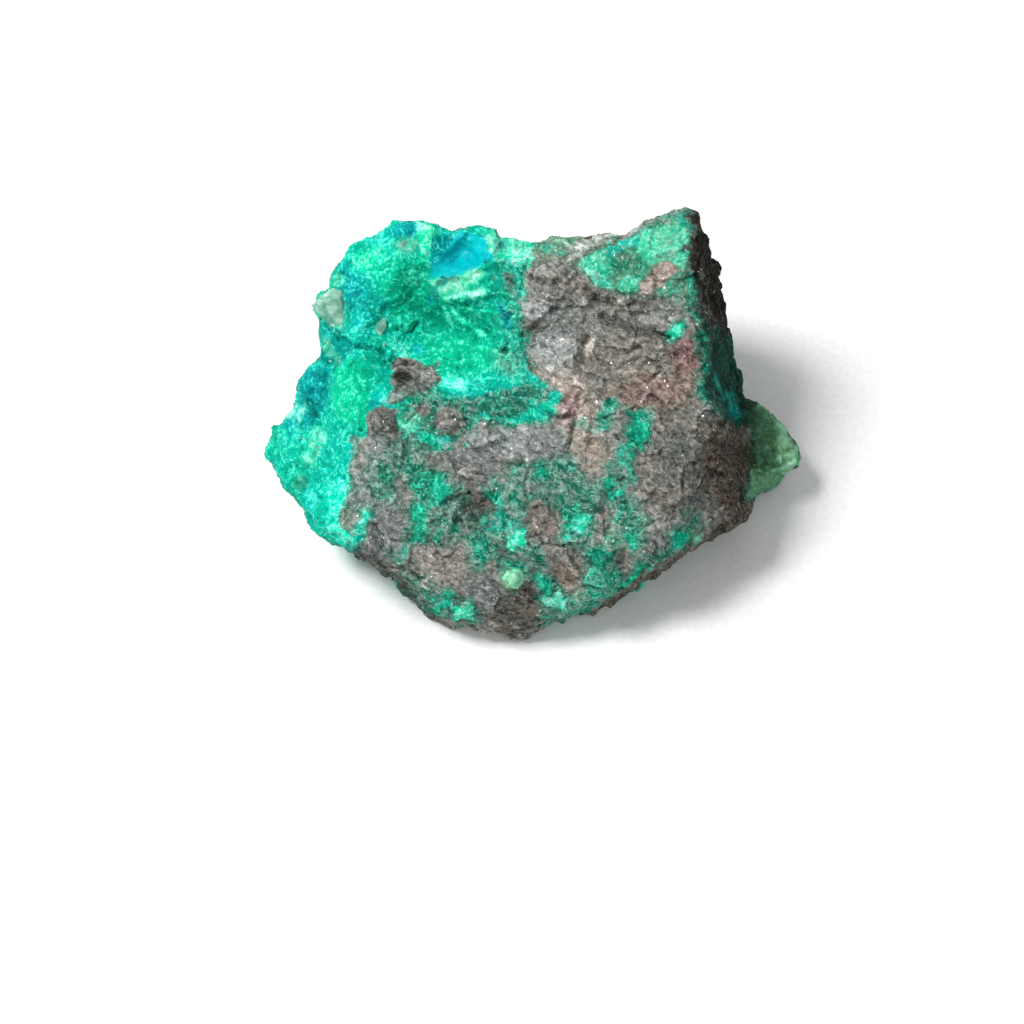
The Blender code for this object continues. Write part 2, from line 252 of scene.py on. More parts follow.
# the rock itself
paint(
    4, 4,
    lobe=spot((551, 278), 26, 20, edge=8, crust=0.02, tone=0.6, rust=0.32),
    # lobeDark, lobeLine, ridgeLine and bandUnder darken the rock along the creases that the reliefs cut:
    # the rock's own brown with painted shade
    lobeDark=path(4, (530, 276), (540, 281), (556, 283), edge=3, ragged=2, tone=0.4, stain=0.1),
    lobeLine=path(2.5, (578, 288), (563, 302), (547, 317), (530, 330), edge=3, ragged=3, tone=0.4,
        rust=0.3, stain=0.16),
    ridgeLine=path(1.5, (587, 336), (583, 358), (582, 380), edge=2.5, ragged=2, tone=0.42, rust=0.5,
        stain=0.06),
    lilacLobe=spot((537, 312), 12, 11, edge=5, ragged=3, crust=0.02, tone=0.71, rust=0.1),
    bandUnder=path(7, (528, 332), (545, 329), (560, 322), ragged=3, tone=0.42, stain=0.05),
    lilacBlock=spot((556, 354), 24, 21, -15, edge=7, crust=0.02, tone=0.66, rust=0.12),
    whiteBlock=spot((562, 380), 20, 9, -20, edge=6, crust=0.05, tone=0.78, rust=0.5),
    # darkStep, darkStepLine and darkStep2: painted shadow under the step and under the lip below it
    darkStep=ring((574, 276), (592, 288), (612, 297), (660, 300), (690, 308), (686, 318), (650, 316),
        (610, 316), (580, 308), edge=6, ragged=5, crust=0.12, tone=0.68, stain=0.15),
    darkStepLine=path(3, (582, 287), (600, 300), (622, 306), (650, 307), (682, 314), tone=0.36,
        stain=0.22),
    darkStep2=path(6, (606, 318), (634, 330), (662, 336), edge=5, ragged=2, tone=0.36, stain=0.2),
    greyShelf=spot((640, 314), 34, 7, -6, tone=0.6),
    brownRock=spot((626, 360), 50, 28, edge=12, crust=0.06, tone=0.5, rust=0.4),
    lilacShell=spot((645, 341), 14, 8, ragged=3, tone=0.55, rust=0.5),
    purpleRock=spot((650, 394), 42, 17, edge=8, ragged=5, crust=0, tone=0.48, rust=0.78),
    redRock=spot((687, 354), 18, 27, 10, edge=9, crust=0, tone=0.44, rust=0.95),
    edgeGreen=path(6, (693, 278), (694, 300), (703, 330), (706, 360), (706, 392), edge=5, ragged=5,
        crust=0.72, pale=0.32, cyan=0.4, frost=0.1),
    vividSpot=ring((666, 333), (676, 323), (684, 324), (682, 336), (670, 341), edge=2, ragged=2, crust=1,
        pale=0.66, cyan=0.15),
    pinkRidge=spot((584, 432), 20, 42, 5, edge=9, ragged=5, crust=0.04, tone=0.64, rust=0.6),
    pinkTop=spot((571, 407), 9, 13, ragged=3, crust=0, tone=0.55, rust=0.95),
    # ridgeLine2: the rock's own brown with painted shade along a crease
    ridgeLine2=path(1.5, (577, 398), (574, 420), (569, 444), edge=2.5, ragged=2, tone=0.34, rust=0.8,
        stain=0.1),
    pinkStreak=path(3.5, (587, 354), (590, 348), (593, 341), edge=2, ragged=2, tone=0.9, rust=0.8),
    silverRock=spot((522, 442), 46, 17, -6, edge=6, ragged=6, crust=0.15, tone=0.6, rust=0),
    silverLow=spot((480, 460), 30, 10, -15, edge=6, crust=0.1, tone=0.52, rust=0.15),
    towerRock=ring((368, 414), (380, 408), (392, 411), (398, 436), (390, 450), (370, 446), ragged=3,
        crust=0.02, tone=0.4, rust=0.2),
    leftRock=spot((376, 490), 26, 46, edge=8, ragged=5, crust=0.3, tone=0.52, rust=0),
    leftRockLow=spot((384, 540), 24, 26, edge=8, crust=0.12, tone=0.48, rust=0.1),
    rightRock=spot((678, 462), 46, 52, edge=14, ragged=5, crust=0.06, tone=0.42, rust=0.28),
    brownHollow=spot((543, 516), 24, 24, edge=7, crust=0.1, tone=0.44, rust=0.4),
    # darkCentre: darker in a hollow, the rock's own brown with painted shade
    darkCentre=spot((477, 510), 17, 25, 15, edge=7, crust=0.08, tone=0.34, rust=0.35, stain=0.15),
)

# green that shows in the lower rock
paint(
    4.5, 6,
    blade=path(4.5, (357, 541), (361, 528), (366, 514), edge=2, ragged=4, crust=0.9, pale=0.63,
        cyan=0.35),
    tipPocket=spot((345, 519), 7, 9, -20, ragged=2, crust=0.25, tone=0.55, frost=0.16),
    leftSpecks=ring((374, 472), (388, 461), (394, 470), (391, 484), (388, 496), (379, 486), edge=7.5,
        ragged=7.5, crust=0.63, pale=0.24, cyan=0.12),
    leftSpecks2=ring((396, 450), (412, 448), (424, 462), (420, 474), (400, 470), edge=9, ragged=7.5,
        crust=0.55, pale=0.14, cyan=0.17),
    greenA=ring((412, 478), (424, 470), (442, 472), (456, 486), (456, 504), (444, 510), (430, 510),
        (428, 540), (418, 538), (414, 505), edge=7.5, ragged=9, crust=0.7, pale=0.24, cyan=0.07),
    greenABright=spot((439, 490), 9, 8, edge=6, ragged=4.5, crust=0.86, pale=0.44, cyan=0.22),
    greenASide=spot((460, 498), 8, 15, edge=7.5, ragged=7.5, crust=0.55, pale=0.1, cyan=0.12),
    columnBright=path(5, (419, 512), (421, 524), (419, 538), edge=6, ragged=4.5, crust=0.87, pale=0.42,
        cyan=0.17),
    greenStreak=path(5, (417, 536), (411, 544), (406, 552), (402, 561), crust=0.78, pale=0.34, cyan=0.2),
    mottledA=ring((428, 516), (448, 512), (462, 524), (460, 545), (440, 550), (428, 540), edge=10.5,
        ragged=9, crust=0.53, pale=0.34, cyan=0.12),
    mottledMiddle=ring((470, 520), (490, 512), (500, 530), (496, 560), (474, 566), (466, 548), edge=9,
        ragged=7.5, crust=0.63, pale=0.1, cyan=0),
    greenBRing=spot((493, 493), 9, 8, ragged=4.5, crust=0.87, pale=0.29, cyan=0.22),
    # greenBHole: painted shade in a hole
    greenBHole=spot((494, 492), 3, 3, edge=3, ragged=2, crust=0.2, tone=0.3),
    greenB=path(5, (497, 498), (500, 508), (502, 518), crust=0.87, pale=0.24, cyan=0.22),
    greenBRight=ring((503, 492), (520, 488), (528, 500), (522, 510), (506, 508), edge=6, ragged=7.5,
        crust=0.65, pale=0.24, cyan=0.12),
    greenBLow=spot((503, 524), 17, 10, edge=6, ragged=7.5, crust=0.74, pale=0.19, cyan=0.27),
    mintB=spot((512, 540), 11, 10, -20, crust=0.86, pale=0.8, cyan=0.3),
    tealLow=spot((480, 552), 12, 12, edge=6, crust=0.78, pale=0.1, cyan=0.05),
    greenC=spot((541, 474), 13, 9, edge=3.8, ragged=4.5, crust=0.86, pale=0.24, cyan=0.07),
    greenCLeft=spot((521, 472), 9, 8, edge=6, crust=0.57, pale=0.39),
    mottledC=spot((564, 468), 9, 9, edge=6, crust=0.6, pale=0.1),
    darkGreenMid=ring((540, 484), (556, 474), (580, 478), (584, 496), (560, 500), (530, 498), edge=9,
        ragged=7.5, crust=0.53, pale=0.1),
    greenD=ring((630, 416), (644, 414), (650, 422), (647, 438), (640, 446), (632, 444), (627, 434),
        ragged=7.5, crust=0.87, pale=0.24, cyan=0.07),
    greenDTail=spot((624, 448), 8, 7, 30, crust=0.65, pale=0.34),
    faintGreen=path(5, (612, 406), (606, 416), (602, 426), edge=6, crust=0.7, pale=0.3),
    faintGreen2=spot((581, 421), 5, 4, ragged=2, crust=0.55, pale=0.44),
    greenE=ring((597, 478), (608, 469), (618, 474), (618, 486), (604, 490), ragged=7.5, crust=0.87,
        pale=0.36, cyan=0.12),
    greenEArm=path(4, (606, 488), (612, 497), (620, 492), crust=0.82, pale=0.42, cyan=0.22),
    greenE2=path(4.5, (620, 468), (628, 462), (630, 476), crust=0.82, pale=0.34, cyan=0.12),
    greenE3=ring((578, 484), (594, 482), (600, 494), (592, 508), (582, 506), edge=7.5, ragged=7.5,
        crust=0.62, pale=0.24, cyan=0.12),
    mottledF=ring((562, 506), (578, 502), (592, 514), (590, 534), (578, 545), (566, 538), edge=7.5,
        ragged=7.5, crust=0.69, pale=0.24, cyan=0.17),
    paleF=spot((582, 520), 6, 4, 20, ragged=2, crust=0.86, pale=0.8),
    mintF=path(3, (567, 537), (572, 529), (580, 528), edge=3, ragged=3, crust=0.86, pale=0.8, cyan=0.3),
    mottledG=ring((612, 504), (636, 500), (644, 520), (640, 534), (618, 530), edge=9, ragged=7.5,
        crust=0.57, pale=0.24, cyan=0.05, tone=0.55),
    greenG=ring((622, 532), (638, 528), (642, 542), (632, 550), (622, 542), edge=6, crust=0.76, pale=0.34,
        cyan=0.22),
    greyQuartz=spot((613, 540), 9, 9, ragged=2, crust=0.55, pale=0.34, tone=0.6, frost=0.32),
    mottledH=ring((588, 550), (600, 546), (614, 552), (616, 566), (600, 572), (588, 564), edge=6,
        ragged=7.5, crust=0.81, pale=0.24, cyan=0.05),
    mottledI=ring((576, 570), (600, 564), (628, 572), (624, 596), (600, 606), (578, 600), edge=9,
        ragged=9, crust=0.7, pale=0.24, cyan=0.07),
    paleI=spot((581, 597), 7, 7, ragged=2, crust=0.57, tone=0.75, frost=0.32),
    edgeBand=path(6, (622, 592), (634, 580), (650, 562), crust=0.87, pale=0.34, cyan=0.07),
    edgeBandThin=path(5, (650, 562), (662, 554), (676, 545), edge=6, crust=0.61, pale=0.1),
    lowEdgeGreen=path(8, (556, 624), (580, 616), (604, 602), (622, 594), edge=6, crust=0.74, pale=0.19,
        cyan=0.05),
    greenKnot=ring((668, 535), (676, 528), (690, 532), (692, 544), (684, 552), (674, 550), ragged=4,
        crust=0.96, pale=0.32, cyan=0.07),
    paleKnot=spot((696, 537), 6, 6, ragged=3, crust=0.8, pale=0.7, frost=0.42),
    knotAbove=spot((694, 522), 5, 9, edge=6, ragged=4.5, crust=0.57, pale=0.24),
    lowPink=ring((410, 552), (430, 548), (464, 552), (468, 570), (460, 590), (446, 586), (440, 568),
        (414, 572), edge=9, crust=0.08, tone=0.6, rust=0.45),
    lowPink2=spot((567, 573), 14, 12, edge=7.5, crust=0.08, tone=0.44, rust=0.6),
    leftLowDark=spot((406, 576), 13, 17, edge=8, ragged=7, crust=0.35, tone=0.4, rust=0.2),
    noduleTop=path(4, (508, 563), (514, 566), (521, 568), ragged=3, crust=0.82, pale=0.14, cyan=0.22),
    nodule=spot((513, 580), 12, 11, edge=1.5, ragged=1, crust=1, pale=0.62, cyan=0, stain=0, frost=0.82),
    greenLow=ring((531, 578), (540, 573), (549, 580), (550, 592), (538, 594), crust=0.87, pale=0.26,
        cyan=0.22),
    greenLow2=spot((537, 556), 6, 8, 20, ragged=4.5, crust=0.65, pale=0.14, cyan=0.22),
    noseLilac=ring((474, 584), (492, 580), (508, 592), (506, 614), (484, 620), (472, 604), edge=7.5,
        ragged=4.5, crust=0.03, tone=0.48, rust=0.12),
    noseBrown=ring((508, 592), (528, 584), (540, 598), (546, 640), (500, 640), (490, 622), edge=7.5,
        crust=0.06, tone=0.34, rust=0.4),
    # noseRim: painted shade along the lower edge
    noseRim=path(5, (478, 618), (500, 624), (530, 632), (552, 636), edge=6, ragged=4.5, tone=0.5,
        stain=0.15),
    mintNose=ring((541, 600), (556, 596), (572, 604), (570, 612), (552, 612), crust=0.87, pale=0.8,
        frost=0.16),
    mottledNose=ring((540, 612), (572, 612), (566, 632), (546, 634), edge=6, ragged=7.5, crust=0.58,
        pale=0.39, frost=0.12),
    leftLow=ring((412, 590), (424, 580), (440, 594), (452, 600), (448, 614), (428, 614), edge=7.5,
        ragged=9, crust=0.62, pale=0.29, cyan=0.17),
    leftLowBright=path(4, (436, 608), (444, 602), (452, 598), edge=3, ragged=4.5, crust=0.86, pale=0.54,
        cyan=0.2),
    mintLow=ring((449, 604), (462, 603), (474, 604), (474, 624), (456, 622), edge=3.8, crust=0.86,
        pale=0.8, cyan=0.2),
    # leftUnder: painted shade along the lower left edge
    leftUnder=path(10, (352, 552), (380, 572), (402, 598), (430, 620), edge=7.5, ragged=4.5, stain=0.62),
)

# the right flank, its brown and teal deepened with painted shade, and the pale ledge behind it, with
# painted shade on its left part, beneath it and along the lower edge
paint(
    2, 3,
    flankBlack=ring((694, 205), (725, 205), (760, 340), (716, 345), (706, 322), (699, 285), (691, 262),
        (690, 234), edge=11, ragged=9, crust=0.12, tone=0.2, rust=0.4, stain=0.8, frost=0),
    flankTeal=ring((704, 328), (760, 335), (772, 420), (740, 428), (716, 424), (706, 372), edge=11,
        ragged=8, crust=0.6, pale=0.12, cyan=0.3, tone=0.2, stain=0.68, frost=0),
    flankSpot=path(2, (716, 378), (721, 390), (724, 398), edge=4, crust=1, pale=0.25, cyan=0.6,
        stain=0.3),
    flankSpot2=path(3, (730, 396), (733, 408), (738, 416), edge=5, crust=1, pale=0.25, cyan=0.6,
        stain=0.55),
    flankBrown=ring((708, 424), (730, 430), (762, 440), (762, 490), (745, 520), (722, 512), (702, 470),
        edge=16, ragged=5, crust=0, tone=0.3, rust=0.6, stain=0.45),
    paleLedge=ring((757, 400), (775, 412), (800, 440), (800, 470), (785, 476), (756, 466), (755, 430),
        ragged=1, crust=1, pale=0.5, cyan=0, stain=0, frost=1),
    ledgeShade=ring((752, 402), (771, 411), (778, 430), (773, 448), (780, 468), (750, 474), edge=8,
        ragged=8, pale=0.16, stain=0.45, frost=0.8),
    ledgeEdge=path(1.5, (764, 473), (780, 468), (793, 462), ragged=1, pale=0.75),
    ledgeUnder=ring((752, 468), (786, 476), (775, 490), (745, 500), ragged=2, crust=0.9, pale=0.4, cyan=0,
        stain=0.25, frost=0.9),
    lowerEdgeShade=path(7, (588, 624), (640, 589), (700, 548), (753, 513), edge=5, crust=0.1, pale=0.25,
        tone=0.35, rust=0.6, stain=0.5),
)

# Cuts and rises too fine for the solid, in picture pixels, with how far they go in mm; half is
# the width over which each one comes and goes.
reliefs = dict(
    greyMass=ring((353, 437), (369, 438), (371, 412), (383, 409), (395, 414), (400, 430), (415, 440),
        (430, 447), (463, 448), (470, 431), (480, 420), (500, 427), (508, 438), (521, 432), (529, 421),
        (549, 421), (557, 404), (574, 399), (582, 390), (556, 378), (531, 366), (523, 346), (527, 334),
        (520, 322), (522, 305), (530, 290), (527, 277), (540, 262), (572, 262), (590, 284), (613, 294),
        (660, 298), (686, 304), (700, 330), (712, 400), (715, 470), (690, 530), (640, 572), (560, 625),
        (470, 610), (400, 570), (350, 545), (344, 507), (350, 470), half=6, rise=0.41),
    roundRock=spot((449, 421), 14, 13, half=8, rise=0.42),
    pocket=spot((416, 377), 22, 14, 10, half=8, rise=0.41),
    pocketHole=spot((402, 376), 8, 7, half=7, rise=-0.7),
    ridgeCrack=path(4, (575, 427), (572, 444), (567, 453), rise=-0.49),
    ridgeCrack2=path(5, (578, 398), (571, 412), (562, 420), rise=-0.36),
    lowCrack=path(5, (591, 510), (605, 513), (613, 520), (612, 530), rise=-0.7),
    leftCrack=path(4, (358, 347), (374, 350), (390, 357), (405, 363), rise=-0.6),
    greenCrack=path(3, (404, 304), (413, 293), (423, 280), rise=-0.3),
    jadeBlock=ring((384, 312), (404, 305), (419, 317), (411, 331), (387, 330), half=4, rise=0.41),
    scoopCrack=path(4, (417, 323), (411, 330), (405, 334), rise=-0.49),
    slopeCrack=path(4, (466, 334), (474, 330), (483, 325), rise=-0.42),
    crevice=path(5, (489, 330), (495, 341), (504, 352), rise=-0.49),
    knobGroove=path(4, (322, 317), (333, 331), (342, 340), (352, 346), rise=-0.65),
    stepEdge=path(6, (574, 274), (594, 292), (614, 300), (660, 304), (690, 311), rise=-0.42),
    stepEdge2=path(5, (604, 316), (632, 329), (664, 336), rise=-0.6),
    shelf=path(6, (606, 308), (640, 312), (676, 318), rise=0.36),
    shell=spot((645, 342), 15, 10, half=6, rise=0.45),
    lobeFold=path(4, (530, 277), (541, 281), (556, 284), rise=-0.3),
    lobeFold2=path(4, (548, 262), (553, 270), (566, 276), rise=-0.36),
    lobeRise=spot((556, 272), 14, 9, half=8, rise=0.45),
    lobeRidge=path(6, (540, 291), (552, 300), (562, 304), rise=0.41),
    lobeCrease=path(4, (578, 288), (563, 302), (547, 317), (530, 330), rise=-0.5),
    ridgeLine=path(3, (587, 336), (583, 358), (582, 380), rise=-0.25),
    bay=path(6, (523, 332), (538, 330), (553, 325), (564, 316), rise=-0.3),
    seam=path(5, (527, 262), (522, 290), (519, 325), (526, 350), (534, 368), (556, 382), (580, 392),
        rise=-0.45),
    fold1=path(5, (590, 300), (585, 320), (588, 345), rise=-0.36),
    fold2=path(6, (600, 352), (625, 362), (655, 366), rise=-0.32),
    fold3=path(5, (590, 372), (618, 384), (650, 386), (684, 378), rise=0.32),
    fold4=path(5, (672, 338), (680, 360), (684, 384), rise=-0.41),
    redRise=spot((690, 346), 11, 16, 10, half=8, rise=0.45),
    silver1=path(4, (488, 440), (510, 436), (532, 446), (548, 458), rise=0.36),
    silver2=path(3, (512, 432), (528, 440), (545, 455), rise=-0.45),
    silver3=path(4, (534, 430), (545, 444), (556, 458), rise=-0.45),
    silver4=path(5, (478, 452), (500, 462), (520, 464), rise=-0.41),
    silver5=path(6, (440, 452), (462, 462), (486, 472), rise=0.36),
    towerTop=spot((382, 421), 13, 12, half=8, rise=0.36),
    towerFoot=path(5, (368, 440), (386, 450), (404, 458), rise=-0.32),
    lowNotch=path(8, (618, 552), (625, 563), (628, 577), rise=-0.77),
    pinkRidge=path(9, (586, 395), (586, 430), (578, 468), rise=0.36),
    nodule=spot((513, 580), 13, 12, half=8, rise=0.84),
    noduleSide=spot((527, 575), 6, 6, half=4, rise=0.49),
    noseBlock=ring((474, 588), (492, 582), (508, 592), (504, 614), (482, 616), half=6, rise=0.45),
    crest=path(6, (445, 300), (465, 298), (486, 294), rise=0.45),
    crestTop=path(6, (438, 281), (462, 274), (486, 264), (500, 260), rise=0.45),
    blueFacet=path(6, (463, 234), (450, 246), (434, 262), rise=0.45),
    blueFacet2=path(5, (463, 238), (474, 248), (482, 260), rise=0.41),
    blueDip=spot((456, 262), 12, 8, 20, half=7, rise=-0.36),
    mintLow=spot((461, 612), 15, 12, half=7, rise=0.63),
    greenKnot=spot((680, 539), 13, 12, half=7, rise=0.56),
    edgeBand=path(6, (622, 592), (634, 580), (650, 562), rise=0.45),
    chipPale=ring((375, 328), (382, 320), (387, 324), (382, 337), half=3, rise=0.42),
    bladeRise=path(5, (355, 543), (361, 527), (369, 508), rise=0.42),
    rimRise=path(5, (334, 530), (345, 538), (354, 543), rise=0.36),
    shoulderStep=path(5, (292, 404), (304, 404), (318, 408), rise=-0.45),
    shoulderFold=path(5, (330, 362), (326, 385), (322, 405), rise=-0.45),
    clusterRise=path(6, (319, 434), (314, 447), (309, 458), rise=0.32),
    hollowFill=path(9, (449, 527), (457, 509), (472, 499), (488, 497), (498, 506), rise=0.35),
    ledgeRidge=path(5, (768, 412), (778, 432), (782, 460), rise=0.5),
    ledgeStep=path(3, (764, 474), (780, 470), (794, 464), rise=0.5),
    tipFold=path(5, (306, 470), (318, 482), (322, 500), rise=-0.36),
)

rock = {
    "name": "crusted_rock",
    "weld": 0.001,              # mm
    "voxel": 0.27,
    "easing": (0.5, 10),        # how far a point goes to its neighbours' middle, and how often
    "faces": 196000,
    "hiddenEase": 4.0,
    # how far a point faces the camera, from where something begins to where it is whole
    "seen": (-0.02, 0.18),
    "carved": (0.05, 0.45),
    "glassy": (0.1, 0.35),
    "fine": (-0.1, 0.2),
    "filmSpread": 3.0,          # pixels
    "crusted": (0.35, 0.75),
    "jitter": (1.1, 4.0),       # wave in mm, pixels
    "jitterHalf": 6.0,          # the half width in pixels from which the jitter is whole
    "wander": ((2.4, 1.1), (0.9, 0.7), (0.4, 0.3)),     # wave in mm, strength
    "lumps": (4.2, 0.24),       # wave or cell in mm, height in mm
    "chips": ((3.4, 0.12), (1.5, 0.1)),
    "folds": (2.0, 0.17),
    "grit": ((0.95, 0.09), (0.45, 0.07)),
    "knobs": ((1.0, 0.08), (0.5, 0.06)),
    "glassFacets": (2.6, 0.1),
    "chipShift": 7.31,          # takes each chip's lie from a place of its own
    "knobPinch": 1.35,
    "knobSunk": 0.6,
    "foldPinch": 2.6,
    "foldDrawn": 0.5,
    "crustFills": 0.6,          # the share of the folds that the crust fills
    "glassEvens": 0.85,         # the share of the grit that the glassy break lacks
    "stainHides": 0.9,          # the share of the glints and grains that the stain and the painted shade hide
    "filmBegin": 0.8,
    "proudSteps": 6,
    "proudHeight": 0.28,        # mm
    # slow patterns of the sides that the camera does not see: wave in mm, strength, octaves, shift
    "slow": {"blob": (7.5, 1.0, 3, 0.0), "tint": (5.0, 1.0, 1, 31.0), "warm": (6.0, 1.0, 1, 57.0)},
    "left": (-6.0, -20.0),      # mm over the face, from where it begins to where it is whole
    "right": (20.0, 26.0),
    # what each field has there: a start, and the share of the slow patterns and of the two ends
    "hidden": {
        "crust": {"start": 0.3, "blob": 1.1, "left": 0.55},
        "pale": {"start": 0.45, "tint": 0.4},
        "cyan": {"start": 0.25, "left": 0.4, "warm": 0.4},
        "tone": {"start": 0.48, "warm": 0.35, "right": -0.2},
        "rust": {"start": 0.3, "tint": -0.5},
        "stain": {"start": 0.1, "blob": 0.3, "right": 0.45},
        "frost": {"start": 0.1, "blob": -0.3},
        "glass": {"start": 0.0},
    },
}


def facePoint(x, y, z):
    # face millimetres (right, up the face, out of it) to the part's metres
    return (faceTurn @ Vector((x, y, z)) + Vector(shot["faceMiddle"])) * mm


def toFace(points):
    return (points / mm - np.array(shot["faceMiddle"])) @ np.array(faceTurn)


def picturePlace(face):
    # where face points fall in the picture, in pixels from its top left corner
    near = shot["distance"] / (shot["distance"] - face[:, 2])
    across = halfPicture + pixelsPerMm * (face[:, 0] - shot["aim"][0]) * near
    down = halfPicture - pixelsPerMm * (face[:, 1] - shot["aim"][1]) * near
    return np.stack([across, down], axis=1)


def easeStep(value, start=0.0, end=1.0):
    value = np.clip((value - start) / (end - start), 0.0, 1.0)
    return value * value * (3.0 - 2.0 * value)


def sampled(rule, points):
    return np.array([rule(Vector(point)) for point in points])


def pathReach(points, line, halfWidth=0.0):
    # how far inside the line's half width each point is, negative outside
    line = np.array(line, float)
    nearest = np.full(len(points), np.inf)
    for start, end in zip(line[:-1], line[1:]):
        along = end - start
        offset = points - start
        share = np.clip(offset @ along / (along @ along), 0.0, 1.0)
        nearest = np.minimum(nearest, np.hypot(*(offset - share[:, None] * along).T))
    return halfWidth - nearest


def ringReach(points, corners):
    closed = np.array([*corners, corners[0]], float)
    inside = np.zeros(len(points), bool)
    for start, end in zip(closed[:-1], closed[1:]):
        crosses = (start[1] > points[:, 1]) != (end[1] > points[:, 1])
        rise = (end[1] - start[1]) or 1e-9
        edge = start[0] + (points[:, 1] - start[1]) * (end[0] - start[0]) / rise
        inside ^= crosses & (points[:, 0] < edge)
    return np.where(inside, -1.0, 1.0) * pathReach(points, closed)


def spotReach(points, middle, halfWidth, halfHeight, turn):
    angle = math.radians(turn)
    dx = points[:, 0] - middle[0]
    dy = middle[1] - points[:, 1]
    along = (dx * math.cos(angle) + dy * math.sin(angle)) / halfWidth
    across = (dy * math.cos(angle) - dx * math.sin(angle)) / halfHeight
    return (1.0 - np.hypot(along, across)) * min(halfWidth, halfHeight)


def reachOf(shape, points):
    if "ring" in shape:
        return ringReach(points, shape["ring"])
    if "path" in shape:
        return pathReach(points, shape["path"], shape["half"])
    return spotReach(points, *shape["spot"])


def settled(piece):
    # turns a piece's modifiers into plain mesh
    bpy.context.view_layer.update()
    graph = bpy.context.evaluated_depsgraph_get()
    mesh = bpy.data.meshes.new_from_object(piece.evaluated_get(graph))
    piece.modifiers.clear()
    piece.data = mesh
    return piece


def newPiece(name, mesh):
    piece = bpy.data.objects.new(name, mesh)
    bpy.context.scene.collection.objects.link(piece)
    return piece


def fineSkin(node):
    mesh = node.data.copy()
    joined = bmesh.new()
    joined.from_mesh(mesh)
    bmesh.ops.remove_doubles(joined, verts=joined.verts, dist=rock["weld"] * mm)
    joined.to_mesh(mesh)
    joined.free()
    mesh.materials.clear()
    piece = newPiece(rock["name"], mesh)
    remesh = piece.modifiers.new("fineSkin", "REMESH")
    remesh.mode = "VOXEL"
    remesh.voxel_size = rock["voxel"] * mm
    ease = piece.modifiers.new("ease", "SMOOTH")
    ease.factor, ease.iterations = rock["easing"]
    return settled(piece)


def valuesOf(items, name):
    values = np.empty(len(items) * 3, np.float32)
    items.foreach_get(name, values)
    return values.reshape(-1, 3).astype(float)


def moveTo(mesh, points):
    mesh.vertices.foreach_set("co", points.astype(np.float32).ravel())
    mesh.update()


def waveRule(wave, height, octaves=2):
    return lambda place: height * noise.fractal(place / wave, 1.0, 2.0, octaves)


def chipRule(cell, tilt):
    # a patchwork of small flat breaks, each cell tilted its own way
    def rule(place):
        nearest = noise.voronoi(place / cell)[1][0]
        lie = noise.cell_vector(nearest * rock["chipShift"]) * 2.0 - Vector((1.0, 1.0, 1.0))
        return tilt * lie.dot(place - nearest * cell)
    return rule


def knobRule(cell, height):
    # small rounded swellings side by side
    def rule(place):
        apart = noise.voronoi(place / cell)[0][0]
        return height * (1.0 - min(1.0, apart * rock["knobPinch"]) ** 2)
    return rule


def foldRule(wave, depth):
    # creases that run along the layers
    def rule(place):
        drawn = (place - layerLie * (place.dot(layerLie) * rock["foldDrawn"])) / wave
        apart = rock["foldPinch"] * abs(noise.fractal(drawn, 1.0, 2.0, 2))
        return -depth * (1.0 - min(1.0, apart)) ** 2
    return rule


def facingShare(facings, limits):
    return easeStep(facings @ np.array(towardCamera), *limits)


def hiddenFields(place, face):
    parts = {name: sampled(waveRule(wave, strength, octaves), place + shift)
             for name, (wave, strength, octaves, shift) in rock["slow"].items()}
    parts["start"] = np.ones(len(place))
    for end in ("left", "right"):
        parts[end] = easeStep(face[:, 0], *rock[end])
    return {name: np.clip(sum(parts[part] * share for part, share in recipe.items()), 0.0, 1.0)
            for name, recipe in rock["hidden"].items()}


def paintFields(points, facings):
    face = toFace(points)
    place = points / mm
    picture = picturePlace(face)
    seen = facingShare(facings, rock["seen"])
    wander = sum(sampled(waveRule(*wave), place) for wave in rock["wander"])
    fields = hiddenFields(place, face)
    film = fields["crust"] * rock["filmBegin"]
    for patch in patches.values():
        reach = reachOf(patch, picture) + wander * patch["ragged"]
        share = easeStep(reach, -patch["edge"], patch["edge"]) * seen
        for name in fieldNames:
            if name in patch:
                fields[name] += (patch[name] - fields[name]) * share
        if "crust" in patch:
            # the green film goes on a little beyond the crust
            spread = patch["edge"] + rock["filmSpread"]
            near = easeStep(reach + rock["filmSpread"], -spread, spread)
            film += (patch["crust"] - film) * near * seen
    fields["glass"] *= facingShare(facings, rock["glassy"])
    fields["film"] = film
    fields["bare"] = (1.0 - fields["glass"]) * (1.0 - rock["stainHides"] * fields["stain"])
    return fields


def carveReliefs(points, facings):
    picture = picturePlace(toFace(points))
    jitter = sampled(waveRule(*rock["jitter"]), points / mm)
    rise = np.zeros(len(points))
    for relief in reliefs.values():
        share = min(1.0, relief["half"] / rock["jitterHalf"])
        reach = reachOf(relief, picture) + jitter * share
        rise += relief["rise"] * easeStep(reach / relief["half"])
    seen = facingShare(facings, rock["carved"])
    return points + np.array(towardCamera) * (rise * seen * mm)[:, None]


def proudness(mesh, height):
    # how far each point stands above its neighbours, from 0 in a pit to 1 on a crest
    edges = np.empty(len(mesh.edges) * 2, np.int64)
    mesh.edges.foreach_get("vertices", edges)
    first, second = edges.reshape(-1, 2).T
    count = np.bincount(edges, minlength=len(height))
    around = height.copy()
    for _ in range(rock["proudSteps"]):
        total = np.bincount(first, around[second], len(height))
        total += np.bincount(second, around[first], len(height))
        around = total / np.maximum(count, 1)
    return 0.5 + (height - around) / rock["proudHeight"]


